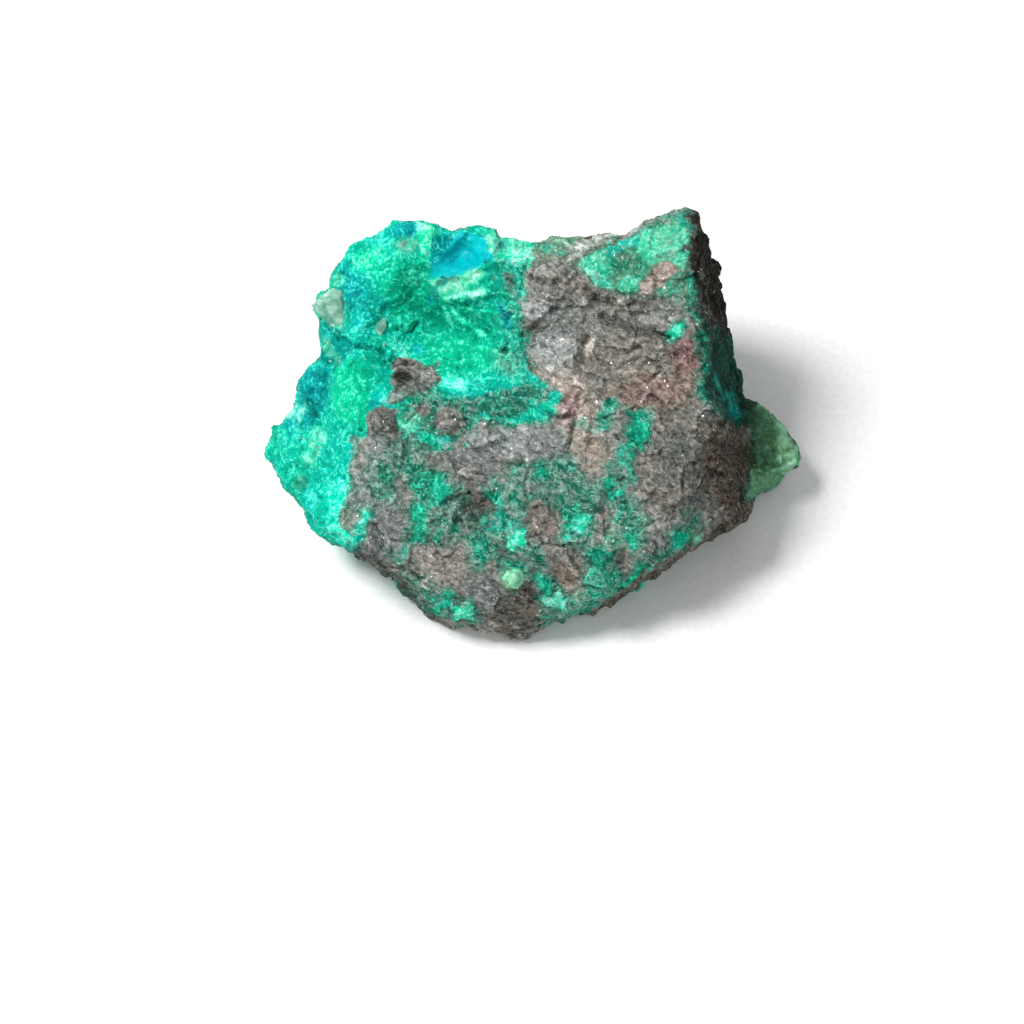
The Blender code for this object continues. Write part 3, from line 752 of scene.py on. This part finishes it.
def shapeRock(piece):
    mesh = piece.data
    points = carveReliefs(valuesOf(mesh.vertices, "co"), valuesOf(mesh.vertex_normals, "vector"))
    moveTo(mesh, points)
    facings = valuesOf(mesh.vertex_normals, "vector")
    fields = paintFields(points, facings)
    place = points / mm
    crust = easeStep(fields["crust"], *rock["crusted"])
    plain = 1.0 - fields["glass"]
    height = sampled(waveRule(*rock["lumps"]), place)
    for chip in rock["chips"]:
        height += sampled(chipRule(*chip), place) * plain
    height += sampled(foldRule(*rock["folds"]), place) * (1.0 - rock["crustFills"] * crust) * plain
    for grit in rock["grit"]:
        height += sampled(waveRule(*grit), place) * (1.0 - rock["glassEvens"] * fields["glass"])
    for cell, tall in rock["knobs"]:
        height += (sampled(knobRule(cell, tall), place) - rock["knobSunk"] * tall) * crust * plain
    height += sampled(chipRule(*rock["glassFacets"]), place) * fields["glass"]
    fields["proud"] = proudness(mesh, height)
    moved = points + facings * (height * mm)[:, None]
    moved[:, 2] = np.maximum(moved[:, 2], cadLow.z)
    moveTo(mesh, moved)
    for name, values in fields.items():
        layer = mesh.attributes.new(name, "FLOAT", "POINT")
        layer.data.foreach_set("value", np.clip(values, 0.0, 1.0).astype(np.float32))


def thinHidden(piece):
    # fewer faces where the camera cannot see, so the seen side keeps its finest grain
    steps = 4
    hidden = 1.0 - facingShare(valuesOf(piece.data.vertex_normals, "vector"), rock["fine"])
    group = piece.vertex_groups.new(name="hidden")
    for step in range(steps + 1):
        chosen = np.flatnonzero(np.round(hidden * steps) == step)
        group.add(chosen.tolist(), step / steps, "REPLACE")
    piece.modifiers.new("cut", "TRIANGULATE")
    thin = piece.modifiers.new("thin", "DECIMATE")
    thin.ratio = rock["faces"] / (2 * len(piece.data.polygons))     # two triangles to a face
    thin.vertex_group = group.name
    thin.vertex_group_factor = rock["hiddenEase"]
    settled(piece)
    piece.vertex_groups.clear()
    piece.data.shade_smooth()


def colour(code):
    # sRGB hex to linear, opaque
    parts = [int(code[i:i + 2], 16) / 255 for i in (1, 3, 5)]
    return [p / 12.92 if p <= 0.04045 else ((p + 0.055) / 1.055) ** 2.4 for p in parts] + [1.0]


def join(tree, node, links):
    # each link is a node, a socket of one or a plain value
    for name, source in links.items():
        if isinstance(source, bpy.types.Node):
            source = source.outputs[0]
        if isinstance(source, bpy.types.NodeSocket):
            tree.links.new(source, node.inputs[name])
        else:
            node.inputs[name].default_value = source


def put(tree, kind, links, stops=(), **settings):
    # adds a node with its settings and links, and a ramp with its stops
    node = tree.nodes.new(kind)
    for name, value in settings.items():
        setattr(node, name, value)
    for index, (position, code) in enumerate(stops):
        if index == len(node.color_ramp.elements):
            node.color_ramp.elements.new(1.0)
        node.color_ramp.elements[index].position = position
        node.color_ramp.elements[index].color = colour(code)
    join(tree, node, links)
    return node


def newMaterial(name):
    material = bpy.data.materials.new(name)
    material.use_nodes = True
    tree = material.node_tree
    place = put(tree, "ShaderNodeTexCoord", {}).outputs["Object"]
    return material, tree, place, tree.nodes["Principled BSDF"]


def amount(base=0.0, span=None, times=(), **parts):
    # parts added up by weight from base, the span of that stretched to 0..1 or to its last two
    # values, then multiplied
    return {"base": base, "span": span, "times": times, "parts": parts}


crustStops = (0, 0.25, 0.45, 0.65, 1)
rockStops = (0, 0.25, 0.5, 0.75, 1)
# Chrysocolla and malachite crust: copper silicate and carbonate grown as a thin skin, so the eye
# sees a smooth deep green or cyan ground strewn with short mint flecks, and the rock through it
# where it is thin. The rock is broken iron and copper oxide: grey sugar with brown, rusty and
# green-stained grains. Real flecks are finer than 0.1 mm; they are drawn as coarse as the
# picture can hold.
mineral = {
    "name": "copper_stained_rock",
    # places pushed about by a slow noise: wave and reach in mm
    "bends": {"swept": (3.0, 2.0), "tangled": (0.7, 0.7)},
    "drawn": 0.3,
    # the place that each pattern is read at, its wave in mm, detail and warp
    "patterns": {"fleck": ("swept", 0.42, 0.5, 0.5), "fine": ("layered", 0.38, 1.0, 0.8),
                 "cluster": ("layered", 1.1, 3.0, 0.4), "cloud": ("straight", 4.2, 3.0, 0.0)},
    "patternSpan": (0.3, 0.7),
    "threadMm": 0.95,
    "facetMm": 0.35,
    "amounts": {
        "nearCell": amount(cellMiddle=1, span=(0.3, 0.42, 1, 0)),
        "glint": amount(cellChance=1, span=(0.972, 0.977), times=("nearCell", "bare")),
        "thread": amount(threadMiddle=1, span=(0.02, 0.1, 1, 0)),
        # where the crust ends it thins out, lets the rock show and breaks up into grains
        "cut": amount(-0.35, fine=0.65, cluster=0.8, cloud=0.25),
        "thick": amount(-0.47, crust=1.65, cut=-1, proud=0.3),
        "thin": amount(crust=1, span=(0.6, 0.95, 1, 0)),
        "filled": amount(1, thin=-0.26),
        "cover": amount(thick=1, span=(-0.03, 0.34), times=("filled",)),
        "depth": amount(thick=1, span=(0, 0.5, -0.22, 0)),
        "mottle": amount(-0.24, fine=0.42, times=("thin",)),
        # proud pales the crust on crests and darkens it in pits: painted light and painted shade
        "paleness": amount(-0.36, pale=1, fine=0.12, cloud=0.14, cluster=0.26, depth=1,
                           proud=0.18, mottle=1, shift=0.7),
        "hue": amount(-0.35, cyan=1, cluster=0.3, cloud=0.4, span=(0.1, 0.9)),
        "strewn": amount(fleck=1, paleness=0.4, cluster=0.42, thread=0.22, thin=0.18,
                         cloud=0.28, span=(1.2, 1.46)),
        "bright": amount(paleness=1, thin=0.38),
        # proud lightens the rock on crests and darkens it in pits: painted light and painted shade
        "light": amount(-0.415, tone=1, fine=0.31, cluster=0.15, cloud=0.1, proud=0.27,
                        glint=0.34, shift=1),
        "warm": amount(-0.4, rust=1.15, cloud=0.3, cluster=0.25),
        "brownShare": amount(warm=1, span=(0, 0.5)),
        "redShare": amount(warm=1, span=(0.5, 1)),
        "filmShare": amount(film=1.5, cut=-0.5, span=(0, 0.65)),
        # frost, and the stain with its painted shade, are patchy where they are neither nothing nor all
        "uneven": amount(-0.65, fleck=0.7, cluster=0.6),
        "frostRoom": amount(2.4, frost=-2.4),
        "stainRoom": amount(2.4, stain=-2.4),
        "frostPatch": amount(uneven=1, times=("frost", "frostRoom")),
        "stainPatch": amount(uneven=1, times=("stain", "stainRoom")),
        "frostShare": amount(frost=0.95, frostPatch=1),
        "stainShare": amount(stain=0.9, stainPatch=1),
        "blueness": amount(-0.09, fine=0.08, pale=1, cluster=0.1),
        "rough": amount(0.9, fine=-0.3, glint=-0.4, glass=-0.4, span=(0.1, 1, 0.1, 1)),
        "coat": amount(glass=0.05),
        "metal": amount(glint=0.8),
        "calm": amount(1, glass=-0.3, cover=-0.6),
        "relief": amount(cluster=0.1 * mm, fine=0.09 * mm, facet=0.9, times=("calm",)),
        "height": amount(relief=1, strewn=0.03 * mm),
    },
    # the amount that each ramp is read by, where its stops are, and their colours
    "ramps": {
        "green": ("paleness", crustStops, "#005a46", "#009273", "#00ab84", "#00ca98", "#3aecb8"),
        "cyan": ("paleness", crustStops, "#006268", "#009395", "#00aca7", "#00cdc2", "#3cf0e2"),
        "greenFleck": ("bright", (0, 0.5, 1), "#0c9c7e", "#36d8ac", "#96f5d6"),
        "cyanFleck": ("bright", (0, 0.5, 1), "#12a8a0", "#42e0cc", "#a2fcf0"),
        "grey": ("light", rockStops, "#1c1e1c", "#4a4e4b", "#787c79", "#a6aaa7", "#eceee8"),
        "brown": ("light", rockStops, "#1f1b16", "#4c473e", "#7d766a", "#ada599", "#ebe6dc"),
        "red": ("light", rockStops, "#271a17", "#563f3b", "#856b68", "#b49c98", "#eddcd4"),
        "stained": ("light", rockStops, "#0e241d", "#2a5347", "#4e8573", "#82baa6", "#cdf2e2"),
        "chalk": ("paleness", (0, 0.35, 0.7, 1), "#4a6240", "#6c966a", "#9fd8b6", "#dcf6e6"),
        "blue": ("blueness", (0, 0.35, 0.65, 1), "#00828e", "#00a8b0", "#00c2c0", "#2ee0d4"),
    },
    # darkRock and darkCrust colour the stain and the painted shade
    "flat": {"darkRock": "#15130f", "darkCrust": "#06231d"},
    # a colour to begin with, then what lies over it by which share
    "layers": {
        "ground": ("green", ("hue", "cyan")),
        "flecks": ("greenFleck", ("hue", "cyanFleck")),
        "crust": ("ground", ("strewn", "flecks")),
        "stone": ("grey", ("brownShare", "brown"), ("redShare", "red"), ("filmShare", "stained")),
        "dark": ("darkRock", ("cover", "darkCrust")),
        # the dark colours lie over all by the share of stain and painted shade
        "skin": ("stone", ("cover", "crust"), ("frostShare", "chalk"), ("glass", "blue"),
                 ("stainShare", "dark")),
    },
    "bump": 0.8,
    "values": {"Coat Roughness": 0.2, "Specular IOR Level": 0.06},
}


def mineralPlaces(tree, place):
    # flecks are bent and drawn out, and the grain of the rock follows its layers
    places = {"straight": place}
    for name, (wave, reach) in mineral["bends"].items():
        push = put(tree, "ShaderNodeTexNoise", {"Vector": place, "Scale": 1 / (wave * mm)})
        places[name] = put(tree, "ShaderNodeVectorMath", {0: push.outputs["Color"],
                                                          1: (reach * mm,) * 3, 2: place},
                           operation="MULTIPLY_ADD")
    along = put(tree, "ShaderNodeVectorMath", {0: places["swept"], 1: layerLie},
                operation="DOT_PRODUCT").outputs["Value"]
    back = put(tree, "ShaderNodeVectorMath", {0: layerLie * -mineral["drawn"], "Scale": along},
               operation="SCALE")
    places["layered"] = put(tree, "ShaderNodeVectorMath", {0: places["swept"], 1: back},
                            operation="ADD")
    return places


def mineralMaterial():
    material, tree, place, shader = newMaterial(mineral["name"])
    places = mineralPlaces(tree, place)
    known = {key: put(tree, "ShaderNodeAttribute", {}, attribute_name=key).outputs["Fac"]
             for key in (*fieldNames, "film", "bare", "proud", "shift")}
    for name, (where, wave, detail, warp) in mineral["patterns"].items():
        raw = put(tree, "ShaderNodeTexNoise", {"Vector": places[where], "Detail": detail,
                                               "Scale": 1 / (wave * mm), "Distortion": warp})
        known[name] = put(tree, "ShaderNodeMapRange",
                          dict(enumerate((raw, *mineral["patternSpan"]))))
    known["threadMiddle"] = put(tree, "ShaderNodeTexVoronoi",
                                {"Vector": places["tangled"],
                                 "Scale": 1 / (mineral["threadMm"] * mm)},
                                feature="DISTANCE_TO_EDGE")
    # every small crystal face lies its own way and some of them glint
    cells = put(tree, "ShaderNodeTexVoronoi",
                {"Vector": place, "Scale": 1 / (mineral["facetMm"] * mm)}).outputs
    known["cellMiddle"] = cells["Distance"]
    known["cellChance"] = put(tree, "ShaderNodeSeparateColor", {0: cells["Color"]})
    lie = put(tree, "ShaderNodeVectorMath", {0: cells["Color"], 1: (0.5,) * 3},
              operation="SUBTRACT")
    arm = put(tree, "ShaderNodeVectorMath", {0: place, 1: cells["Position"]},
              operation="SUBTRACT")
    known["facet"] = put(tree, "ShaderNodeVectorMath", {0: lie, 1: arm},
                         operation="DOT_PRODUCT").outputs["Value"]
    for name, recipe in mineral["amounts"].items():
        total = recipe["base"]
        for part, weight in recipe["parts"].items():
            total = put(tree, "ShaderNodeMath", {0: known[part], 1: weight, 2: total},
                        operation="MULTIPLY_ADD")
        if recipe["span"]:
            total = put(tree, "ShaderNodeMapRange", dict(enumerate((total, *recipe["span"]))))
        for factor in recipe["times"]:
            total = put(tree, "ShaderNodeMath", {0: total, 1: known[factor]},
                        operation="MULTIPLY")
        known[name] = total
    colours = {name: colour(code) for name, code in mineral["flat"].items()}
    for name, (key, positions, *codes) in mineral["ramps"].items():
        colours[name] = put(tree, "ShaderNodeValToRGB", {0: known[key]}, zip(positions, codes))
    for name, (under, *covers) in mineral["layers"].items():
        colours[name] = colours[under]
        for share, over in covers:
            colours[name] = put(tree, "ShaderNodeMix",
                                {0: known[share], 6: colours[name], 7: colours[over]},
                                data_type="RGBA").outputs[2]
    bump = put(tree, "ShaderNodeBump", {"Height": known["height"], "Distance": 1.0,
                                        "Strength": mineral["bump"]})
    join(tree, shader, {"Base Color": colours["skin"], "Roughness": known["rough"],
                        "Metallic": known["metal"], "Coat Weight": known["coat"],
                        "Normal": bump, **mineral["values"]})
    return material


# Materials with one cloudy pattern: its wave in mm, the stops of its colours, what its roughness
# and its bump in mm make of it, and the shader's own values.
clouded = {
    # matt off-white paper under the lump: a faint tooth, no shine
    "pale_paper": {"wave": 0.8, "stops": [(0.3, "#e9e9e7"), (0.7, "#f1f1ef")],
                   "values": {"Roughness": 0.9}},
    # milky quartz broken open: clear at the edges, clouded inside, faintly stained green
    "milky_quartz": {"wave": 1.3, "rough": (0.3, 0.7, 0.12, 0.4), "bump": 0.03,
                     "stops": [(0.36, "#60a893"), (0.54, "#a4d6c0"), (0.68, "#ecfbf0")],
                     "values": {"Transmission Weight": 0.3, "IOR": 1.544}},
    # fine quartz sugar: white points with smooth faces that throw the light back
    "quartz_sugar": {"wave": 1.4, "rough": (0.0, 1.0, 0.35, 0.12),
                     "stops": [(0.3, "#b4bdb6"), (0.5, "#d6d8d2"), (0.7, "#f6f4ee")],
                     "values": {"IOR": 1.544}},
}


def cloudedMaterial(name):
    material, tree, place, shader = newMaterial(name)
    settings = clouded[name]
    cloud = put(tree, "ShaderNodeTexNoise", {"Vector": place,
                                             "Scale": 1 / (settings["wave"] * mm)})
    join(tree, shader, {"Base Color": put(tree, "ShaderNodeValToRGB", {0: cloud},
                                          settings["stops"]), **settings["values"]})
    if "rough" in settings:
        rough = put(tree, "ShaderNodeMapRange", dict(enumerate((cloud, *settings["rough"]))))
        join(tree, shader, {"Roughness": rough})
    if "bump" in settings:
        bump = put(tree, "ShaderNodeBump", {"Height": cloud, "Distance": settings["bump"] * mm})
        join(tree, shader, {"Normal": bump})
    return material


# Quartz that stands out of the crust. Crystals are given by their corners: where each is in the
# picture and how far it stands out in mm. The others have a width in mm, how far they stand out
# and how flat they are against it, and where they are in the picture.
quartz = {
    "name": "quartz_chips",
    "seed": 5,
    "corners": 11,
    "crystals": {
        "wedge": [(311, 306, 0.5), (321, 296, 0.4), (333, 288, 0.3), (342, 291, 0.35),
                  (347, 303, 0.7), (330, 301, 1.7), (341, 299, 1.35), (349, 331, 0.1),
                  (341, 334, 0.1), (325, 321, 0.3)],
        "leaf": [(384.5, 317, 0.3), (387, 326, 0.1), (380, 337, 0.1), (374.5, 329, 0.2),
                 (378, 323, 0.35)],
        "top": [(398, 244, 0.0), (404, 240, 0.1), (411, 242, 0.1), (412, 249, 0.0),
                (403, 250, 0.1)],
    },
    "rootDepth": 1.4,           # mm
    "rootShare": 0.7,
    "widths": (0.85, 1.15),
    "lengths": (0.55, 0.85),
    "kinds": {
        "chip": {"width": 1.4, "sunk": 0.0, "flat": 0.35, "spots": [(341, 297)]},
        "fleck": {"width": 0.7, "sunk": 0.1, "flat": 0.7,
                  "spots": [(406, 419), (613, 540), (527, 575), (384, 345), (331, 361)]},
        "spark": {"width": 0.34, "sunk": 0.1, "flat": 0.8,
                  "spots": [(352, 452), (560, 525), (573, 505), (494, 599), (435, 455),
                            (378, 495), (404, 508), (421, 552), (476, 431), (383, 422),
                            (452, 260), (424, 372), (416, 283), (442, 521), (326, 302),
                            (340, 291), (346, 303), (335, 326)]},
    },
}


def groundUnder(tree, x, y):
    # where the camera's line through a picture pixel meets the rock, and which way it faces
    across = (x - halfPicture) / pixelsPerMm + shot["aim"][0]
    up = (halfPicture - y) / pixelsPerMm + shot["aim"][1]
    eye = facePoint(*shot["aim"], shot["distance"])
    ray = (facePoint(across, up, 0.0) - eye).normalized()
    return tree.ray_cast(eye, ray)[:2]


def addHull(whole, corners):
    chip = [whole.verts.new(corner) for corner in corners]
    made = bmesh.ops.convex_hull(whole, input=chip)
    loose = {v for v in made["geom_interior"] if isinstance(v, bmesh.types.BMVert)}
    bmesh.ops.delete(whole, geom=list(loose), context="VERTS")


def addCrystal(whole, tree, corners):
    # stands on the ground under its middle, its root narrower and sunk in
    middle = [sum(corner[axis] for corner in corners) / len(corners) for axis in (0, 1)]
    place = groundUnder(tree, *middle)[0]
    tips = [Vector(((x - middle[0]) / pixelsPerMm, (middle[1] - y) / pixelsPerMm, rise))
            for x, y, rise in corners]
    share = quartz["rootShare"]
    roots = [Vector((tip.x * share, tip.y * share, -quartz["rootDepth"])) for tip in tips]
    addHull(whole, [place + faceTurn @ corner * mm for corner in tips + roots])


def quartzChips(ground):
    tree = BVHTree.FromPolygons([v.co for v in ground.data.vertices],
                                [face.vertices for face in ground.data.polygons])
    chance = np.random.default_rng(quartz["seed"])
    whole = bmesh.new()
    for corners in quartz["crystals"].values():
        addCrystal(whole, tree, corners)
    for kind in quartz["kinds"].values():
        for x, y in kind["spots"]:
            place, facing = groundUnder(tree, x, y)
            width = kind["width"] * chance.uniform(*quartz["widths"])
            corners = chance.normal(size=(quartz["corners"], 3))
            corners /= np.linalg.norm(corners, axis=1)[:, None]
            corners *= np.array([1.0, chance.uniform(*quartz["lengths"]), kind["flat"]]) * width / 2
            roll = Matrix.Rotation(chance.uniform(0.0, math.tau), 3, "Z")
            turn = facing.to_track_quat("Z", "Y").to_matrix() @ roll
            middle = place + facing * (width * kind["sunk"] * mm)
            addHull(whole, [middle + turn @ Vector(corner) * mm for corner in corners])
    mesh = bpy.data.meshes.new(quartz["name"])
    whole.to_mesh(mesh)
    whole.free()
    mesh.materials.append(cloudedMaterial("milky_quartz"))
    return newPiece(quartz["name"], mesh)


# Loose grains: the field that they lie on and where it begins and is whole, how many to the
# mm2, the smallest and largest in mm, and the segments and rings of one.
grainKinds = {
    "crust_grains": {"on": ("crust", 0.4, 0.8), "perMm2": 1.45, "size": (0.13, 0.32),
                     "sides": (5, 3), "seed": 11},
    "rock_grains": {"on": ("crust", 0.6, 0.2), "perMm2": 2.6, "size": (0.12, 0.32),
                    "sides": (4, 2), "seed": 23},
    "quartz_sugar": {"on": ("crust", 1.1, 0.3), "perMm2": 0.34, "size": (0.1, 0.23),
                     "sides": (4, 2), "seed": 37},
}
# how every grain differs: stretch, turn and shift of tone, each with its seed
grainChance = {
    "stretch": ("FLOAT_VECTOR", {0: (0.5, 0.5, 0.45), 1: (1.4, 1.1, 1.0), "Seed": 3}),
    "turn": ("FLOAT_VECTOR", {1: (math.tau,) * 3, "Seed": 5}),
    "shift": ("FLOAT", {2: -0.14, 3: 0.2, "Seed": 9}),
}


def grainTree(name, settings, material):
    tree = bpy.data.node_groups.new(name, "GeometryNodeTree")
    segments, rings = settings["sides"]
    field, low, high = settings["on"]
    wanted = {"Density": settings["perMm2"] / mm ** 2, "Smallest": settings["size"][0] * mm,
              "Largest": settings["size"][1] * mm, "Seed": settings["seed"]}
    kinds = {"Geometry": "Geometry", **dict.fromkeys(wanted, "Float"), "Seed": "Int"}
    for label, kind in kinds.items():
        tree.interface.new_socket(label, in_out="INPUT", socket_type="NodeSocket" + kind)
    tree.interface.new_socket("Geometry", in_out="OUTPUT", socket_type="NodeSocketGeometry")
    given = put(tree, "NodeGroupInput", {}).outputs
    where = put(tree, "GeometryNodeInputNamedAttribute", {0: field}, data_type="FLOAT")
    bare = put(tree, "GeometryNodeInputNamedAttribute", {0: "bare"}, data_type="FLOAT")
    dense = put(tree, "ShaderNodeMapRange", {0: where, 1: low, 2: high})
    for factor in (given["Density"], bare):
        dense = put(tree, "ShaderNodeMath", {0: dense, 1: factor}, operation="MULTIPLY")
    spread = put(tree, "GeometryNodeDistributePointsOnFaces",
                 {"Mesh": given["Geometry"], "Density": dense, "Seed": given["Seed"]})
    # one across, so that its scale is its size
    grain = put(tree, "GeometryNodeMeshUVSphere", {"Radius": 0.5, "Segments": segments,
                                                   "Rings": rings})
    sizes = {2: given["Smallest"], 3: given["Largest"], "Seed": given["Seed"]}
    chance = {name: put(tree, "FunctionNodeRandomValue", limits, data_type=kind).outputs
              for name, (kind, limits) in {"size": ("FLOAT", sizes), **grainChance}.items()}
    scale = put(tree, "ShaderNodeVectorMath",
                {0: chance["stretch"][0], "Scale": chance["size"][1]}, operation="SCALE")
    placed = put(tree, "GeometryNodeInstanceOnPoints",
                 {"Points": spread, "Instance": grain, "Rotation": chance["turn"][0],
                  "Scale": scale})
    tinted = put(tree, "GeometryNodeStoreNamedAttribute",
                 {"Geometry": placed, "Name": "shift", "Value": chance["shift"][1]},
                 data_type="FLOAT", domain="INSTANCE")
    real = put(tree, "GeometryNodeRealizeInstances", {0: tinted})
    dressed = put(tree, "GeometryNodeSetMaterial", {"Geometry": real, "Material": material})
    put(tree, "NodeGroupOutput", {0: dressed})
    return tree, wanted


def scatter(name, settings, ground, material):
    piece = newPiece(name, ground.data.copy())
    tree, wanted = grainTree(name, settings, material)
    grow = piece.modifiers.new("grow", "NODES")
    grow.node_group = tree
    for item in tree.interface.items_tree:
        if item.in_out == "INPUT" and item.name in wanted:
            grow[item.identifier] = wanted[item.name]
    settled(piece)
    print(name, sum(len(face.vertices) - 2 for face in piece.data.polygons), "triangles")
    return piece


# The floor's size in m, the world's light, and soft panels placed by how far they are right, up
# and out from the face in mm, with their power and their size in m.
stage = {
    "floor": 1.6,
    "sky": (0.95, 0.97, 1.0, 1.0),
    "world": 0.5,
    "panels": {"key": ((-270, 260, 350), 2.9, 0.16), "fill": ((200, -260, 380), 0.35, 0.4)},
}


def makeStage():
    bpy.ops.mesh.primitive_plane_add(size=stage["floor"], location=(0, 0, cadLow.z))
    floor = bpy.context.object
    floor.name = "floor"
    floor.data.materials.append(cloudedMaterial("pale_paper"))
    for name, (place, power, size) in stage["panels"].items():
        panel = bpy.data.lights.new(name, "AREA")
        panel.energy = power
        panel.size = size
        lamp = newPiece(name, panel)
        lamp.location = facePoint(*place)
        aim = facePoint(0, 0, 0) - lamp.location
        lamp.rotation_euler = aim.to_track_quat("-Z", "Y").to_euler()
    world = bpy.data.worlds.new("studio")
    bpy.context.scene.world = world
    world.use_nodes = True
    join(world.node_tree, world.node_tree.nodes["Background"],
         {"Color": stage["sky"], "Strength": stage["world"]})
    bpy.context.scene.view_settings.view_transform = "Standard"


def makeCamera():
    data = bpy.data.cameras.new("camera")
    data.lens = shot["lens"]
    data.sensor_width = shot["sensor"]
    data.clip_start = shot["nearest"]
    camera = newPiece("camera", data)
    camera.location = facePoint(*shot["aim"], shot["distance"])
    camera.rotation_euler = towardCamera.to_track_quat("Z", "Y").to_euler()
    bpy.context.scene.camera = camera


makeStage()
makeCamera()
crusted = fineSkin(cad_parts["chrysocolla_rock"])
print("fine skin", len(crusted.data.polygons), "faces")
shapeRock(crusted)
thinHidden(crusted)
print("rock shaped and painted", len(crusted.data.polygons), "triangles")
mineralSkin = mineralMaterial()
crusted.data.materials.append(mineralSkin)
grainSkins = {"crust_grains": mineralSkin, "rock_grains": mineralSkin,
              "quartz_sugar": cloudedMaterial("quartz_sugar")}
pieces = [crusted] + [scatter(name, settings, crusted, grainSkins[name])
                      for name, settings in grainKinds.items()]
pieces.append(quartzChips(crusted))
print("quartz set")
for piece in pieces:
    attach(piece, "root")
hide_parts("chrysocolla_rock")
